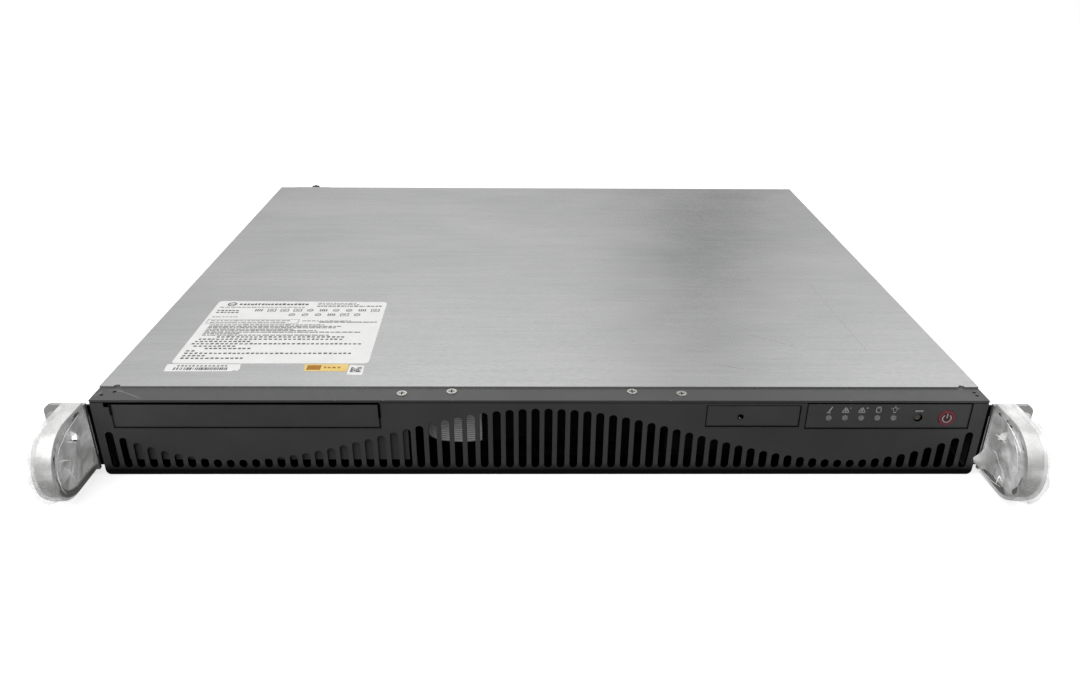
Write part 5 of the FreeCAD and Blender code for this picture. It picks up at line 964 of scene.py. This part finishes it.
def film_crease_highlights(side, x):
    """Painted highlights: thin bright strokes where the film is folded sharply and along the ear plate's edge."""
    sheet = Sheet(Vector((x, FACE_Y, 0)), BACK, UP, 0)
    for width, run in CREASE_HIGHLIGHTS[side]:
        fine = []
        for (y0, z0), (y1, z1) in zip(run, run[1:]):
            for step in range(6):
                t = step / 6
                sway = noise.noise(Vector((y0 + t * 3, z0, side))) * 0.35
                fine.append((y0 + (y1 - y0) * t, z0 + (z1 - z0) * t + sway))
        for i, (here, ahead) in enumerate(zip(fine, fine[1:])):
            taper = math.sin(math.pi * (i + 0.5) / len(fine)) ** 0.6
            sheet.stroke([here, ahead], width * max(taper, 0.2))
    sheet.make(sided("film_crease_highlights", side), "crease_highlight", "chassis", "clear_film")


# Operators ----------------------------
class SERVER_OT_finishes(bpy.types.Operator):
    """Make the finishes and give every CAD node its own"""
    bl_idname = "server.finishes"
    bl_label = "Finishes"

    def execute(self, context):
        FINISHES.update(make_finishes())
        for key, nodes in NODE_FINISH.items():
            for name in nodes:
                item = frame["nodes"][name]
                item.data.materials.clear()
                item.data.materials.append(FINISHES[key])
        left = set(frame["nodes"]) - {n for nodes in NODE_FINISH.values() for n in nodes}
        if left:
            raise RuntimeError("no finish for %s" % sorted(left))
        return {"FINISHED"}


class SERVER_OT_labels(bpy.types.Operator):
    """Stick the four labels on the cover, and add the light scratches and the painted glints on the strip"""
    bl_idname = "server.labels"
    bl_label = "Cover labels"

    def execute(self, context):
        main_label()
        barcode_label()
        small_labels()
        handling_marks()
        return {"FINISHED"}


class SERVER_OT_marks(bpy.types.Operator):
    """Print the signs on the control panel, and draw the painted shadow lines round the plates and the painted
    highlights
    """
    bl_idname = "server.marks"
    bl_label = "Control panel marks"

    def execute(self, context):
        lens_marks()
        bay_shadow_lines()
        return {"FINISHED"}


class SERVER_OT_film(bpy.types.Operator):
    """Pull a film bag over each handle"""
    bl_idname = "server.film"
    bl_label = "Packing film"

    def execute(self, context):
        film_bag(1)
        film_bag(-1)
        return {"FINISHED"}


class SERVER_OT_stage(bpy.types.Operator):
    """Lay the floor and set the lights, the world and the camera"""
    bl_idname = "server.stage"
    bl_label = "Stage"

    def execute(self, context):
        stage = setting("stage")
        scene = bpy.context.scene
        scene.view_settings.view_transform = "Standard"
        floor(stage.floor)
        world(scene)
        fill = 0.2 * stage.key
        softbox("key", (-0.7, -0.9, 1.5), 1.7, stage.key)
        softbox("fill", (1.1, -0.4, 1.3), 1.2, fill)
        camera(scene, stage.lens)
        return {"FINISHED"}


def floor(side):
    """A pale floor that keeps the soft shadow. Mirrored and bounced, it is a light tent's table, dim in front."""
    item, tree, shader = material("White painted floor", "BCBCBC", {
        "Roughness": 0.9, "Specular IOR Level": 0.1, "Emission Color": (1, 1, 1, 1)})
    seen = add(tree, "LightPath").outputs["Is Camera Ray"]
    place = axes(tree)
    away = add(tree, "MapRange", span(0.05, 0.3), {"Value": place["Y"]})
    aside = add(tree, "Math", {"operation": "ABSOLUTE"}, {0: place["X"]})
    ends = add(tree, "MapRange", span(0.215, 0.235), {"Value": aside})
    feed(tree, shader, {
        "Base Color": layered(tree, "626262", (ends, "B4B4B4"), (away, "C8C8C8"), (seen, "D8D8D8")),
        "Emission Strength": add(tree, "Math", {"operation": "MULTIPLY", 1: 0.62}, {0: seen}),
    })
    mesh = bpy.data.meshes.new("floor")
    half = side / 2
    mesh.from_pydata([(-half, -half, 0), (half, -half, 0), (half, half, 0), (-half, half, 0)], [], [(0, 1, 2, 3)])
    mesh.materials.append(item)
    plane = bpy.data.objects.new("floor", mesh)
    plane.location.z = -0.2 * MM          # just under the feet
    bpy.context.scene.collection.objects.link(plane)


# The tent's level round the back, by degrees to the right of straight behind; the dip is its grey seam.
TENT = ((-90, 0.70), (-40, 0.72), (-26, 0.78), (-8, 0.92), (4, 0.88), (11.8, 0.46), (20, 0.88), (30, 1.0),
        (46, 0.74), (90, 0.70))


def world(scene):
    """Soft light all round, plain white where it is seen. Mirrored, it is a tent that gets brighter upwards."""
    ambient, white = 0.5, 1.0
    scene.world = bpy.data.worlds.new("Studio")
    scene.world.use_nodes = True
    tree = scene.world.node_tree
    way = add(tree, "TexCoord").outputs["Generated"]
    way = add(tree, "SeparateXYZ", {}, {"Vector": way}).outputs
    rise = add(tree, "MapRange", span(0.2, 0.6, 0.50, 1.42), {"Value": way["Z"]})
    turn = add(tree, "Math", {"operation": "ARCTAN2"}, {0: way["X"], 1: way["Y"]})
    spread = math.radians(90)
    place = add(tree, "MapRange", span(-spread, spread), {"Value": turn})
    ramp = add(tree, "ValToRGB", {}, {"Fac": place})
    ramp.color_ramp.interpolation = "EASE"
    marks = ramp.color_ramp.elements
    while len(marks) < len(TENT):
        marks.new(0.5)
    for mark, (angle, level) in zip(marks, TENT):
        mark.position = (angle + 90) / 180
        mark.color = (level, level, level, 1)
    mirrored = add(tree, "Math", {"operation": "MULTIPLY"}, {0: rise, 1: ramp})
    path = add(tree, "LightPath").outputs
    level = add(tree, "Mix", {"data_type": "FLOAT", 2: ambient},
                {0: path["Is Glossy Ray"], 3: mirrored})
    shown = add(tree, "Math", {"operation": "MAXIMUM"},
                {0: path["Is Camera Ray"], 1: path["Is Transmission Ray"]})
    level = add(tree, "Mix", {"data_type": "FLOAT", 3: white}, {0: shown, 2: level})
    background = tree.nodes["Background"]
    background.inputs["Color"].default_value = (1, 1, 1, 1)
    feed(tree, background, {"Strength": level})


def softbox(name, at, size, power):
    """A square area light that looks at the middle of the floor."""
    light = bpy.data.lights.new(name, "AREA")
    light.shape, light.size, light.size_y, light.energy = "RECTANGLE", size, size, power
    item = bpy.data.objects.new(name, light)
    item.location = at
    item.rotation_euler = (-Vector(at)).to_track_quat("-Z", "Y").to_euler()
    bpy.context.scene.collection.objects.link(item)


def camera(scene, lens):
    """Standing in front, a little left of the middle, looking down at the cover."""
    data = bpy.data.cameras.new("camera")
    data.lens = lens
    item = bpy.data.objects.new("camera", data)
    item.location = (-6.70 * MM, -371.22 * MM + FACE_Y, 253.27 * MM)
    item.rotation_euler = Euler([math.radians(turn) for turn in (64.053, -0.415, -0.633)], "XYZ")
    scene.collection.objects.link(item)
    scene.camera = item


# Panel and registration ---------------
class SERVER_PT_looks(bpy.types.Panel):
    """The pieces, in the order in which they are made."""
    bl_label = "Rack server"
    bl_idname = "SERVER_PT_looks"
    bl_space_type = "VIEW_3D"
    bl_region_type = "UI"
    bl_category = "Rack server"

    def draw(self, context):
        for operator in OPERATORS:
            self.layout.operator(operator.bl_idname)
        for name, group in GROUPS.items():
            box = self.layout.box()
            for prop in group.__annotations__:
                box.prop(getattr(context.scene, name), prop)


OPERATORS = (SERVER_OT_finishes, SERVER_OT_labels, SERVER_OT_marks, SERVER_OT_film, SERVER_OT_stage)


def register():
    for item in (*GROUPS.values(), *OPERATORS, SERVER_PT_looks):
        bpy.utils.register_class(item)
    for name, group in GROUPS.items():
        setattr(bpy.types.Scene, name, bpy.props.PointerProperty(type=group))


def unregister():
    for name in GROUPS:
        delattr(bpy.types.Scene, name)
    for item in (SERVER_PT_looks, *reversed(OPERATORS), *GROUPS.values()):
        bpy.utils.unregister_class(item)


def main():
    register()
    for operator in OPERATORS:
        group, name = operator.bl_idname.split(".")
        getattr(getattr(bpy.ops, group), name)()


if __name__ == "__main__":
    main()
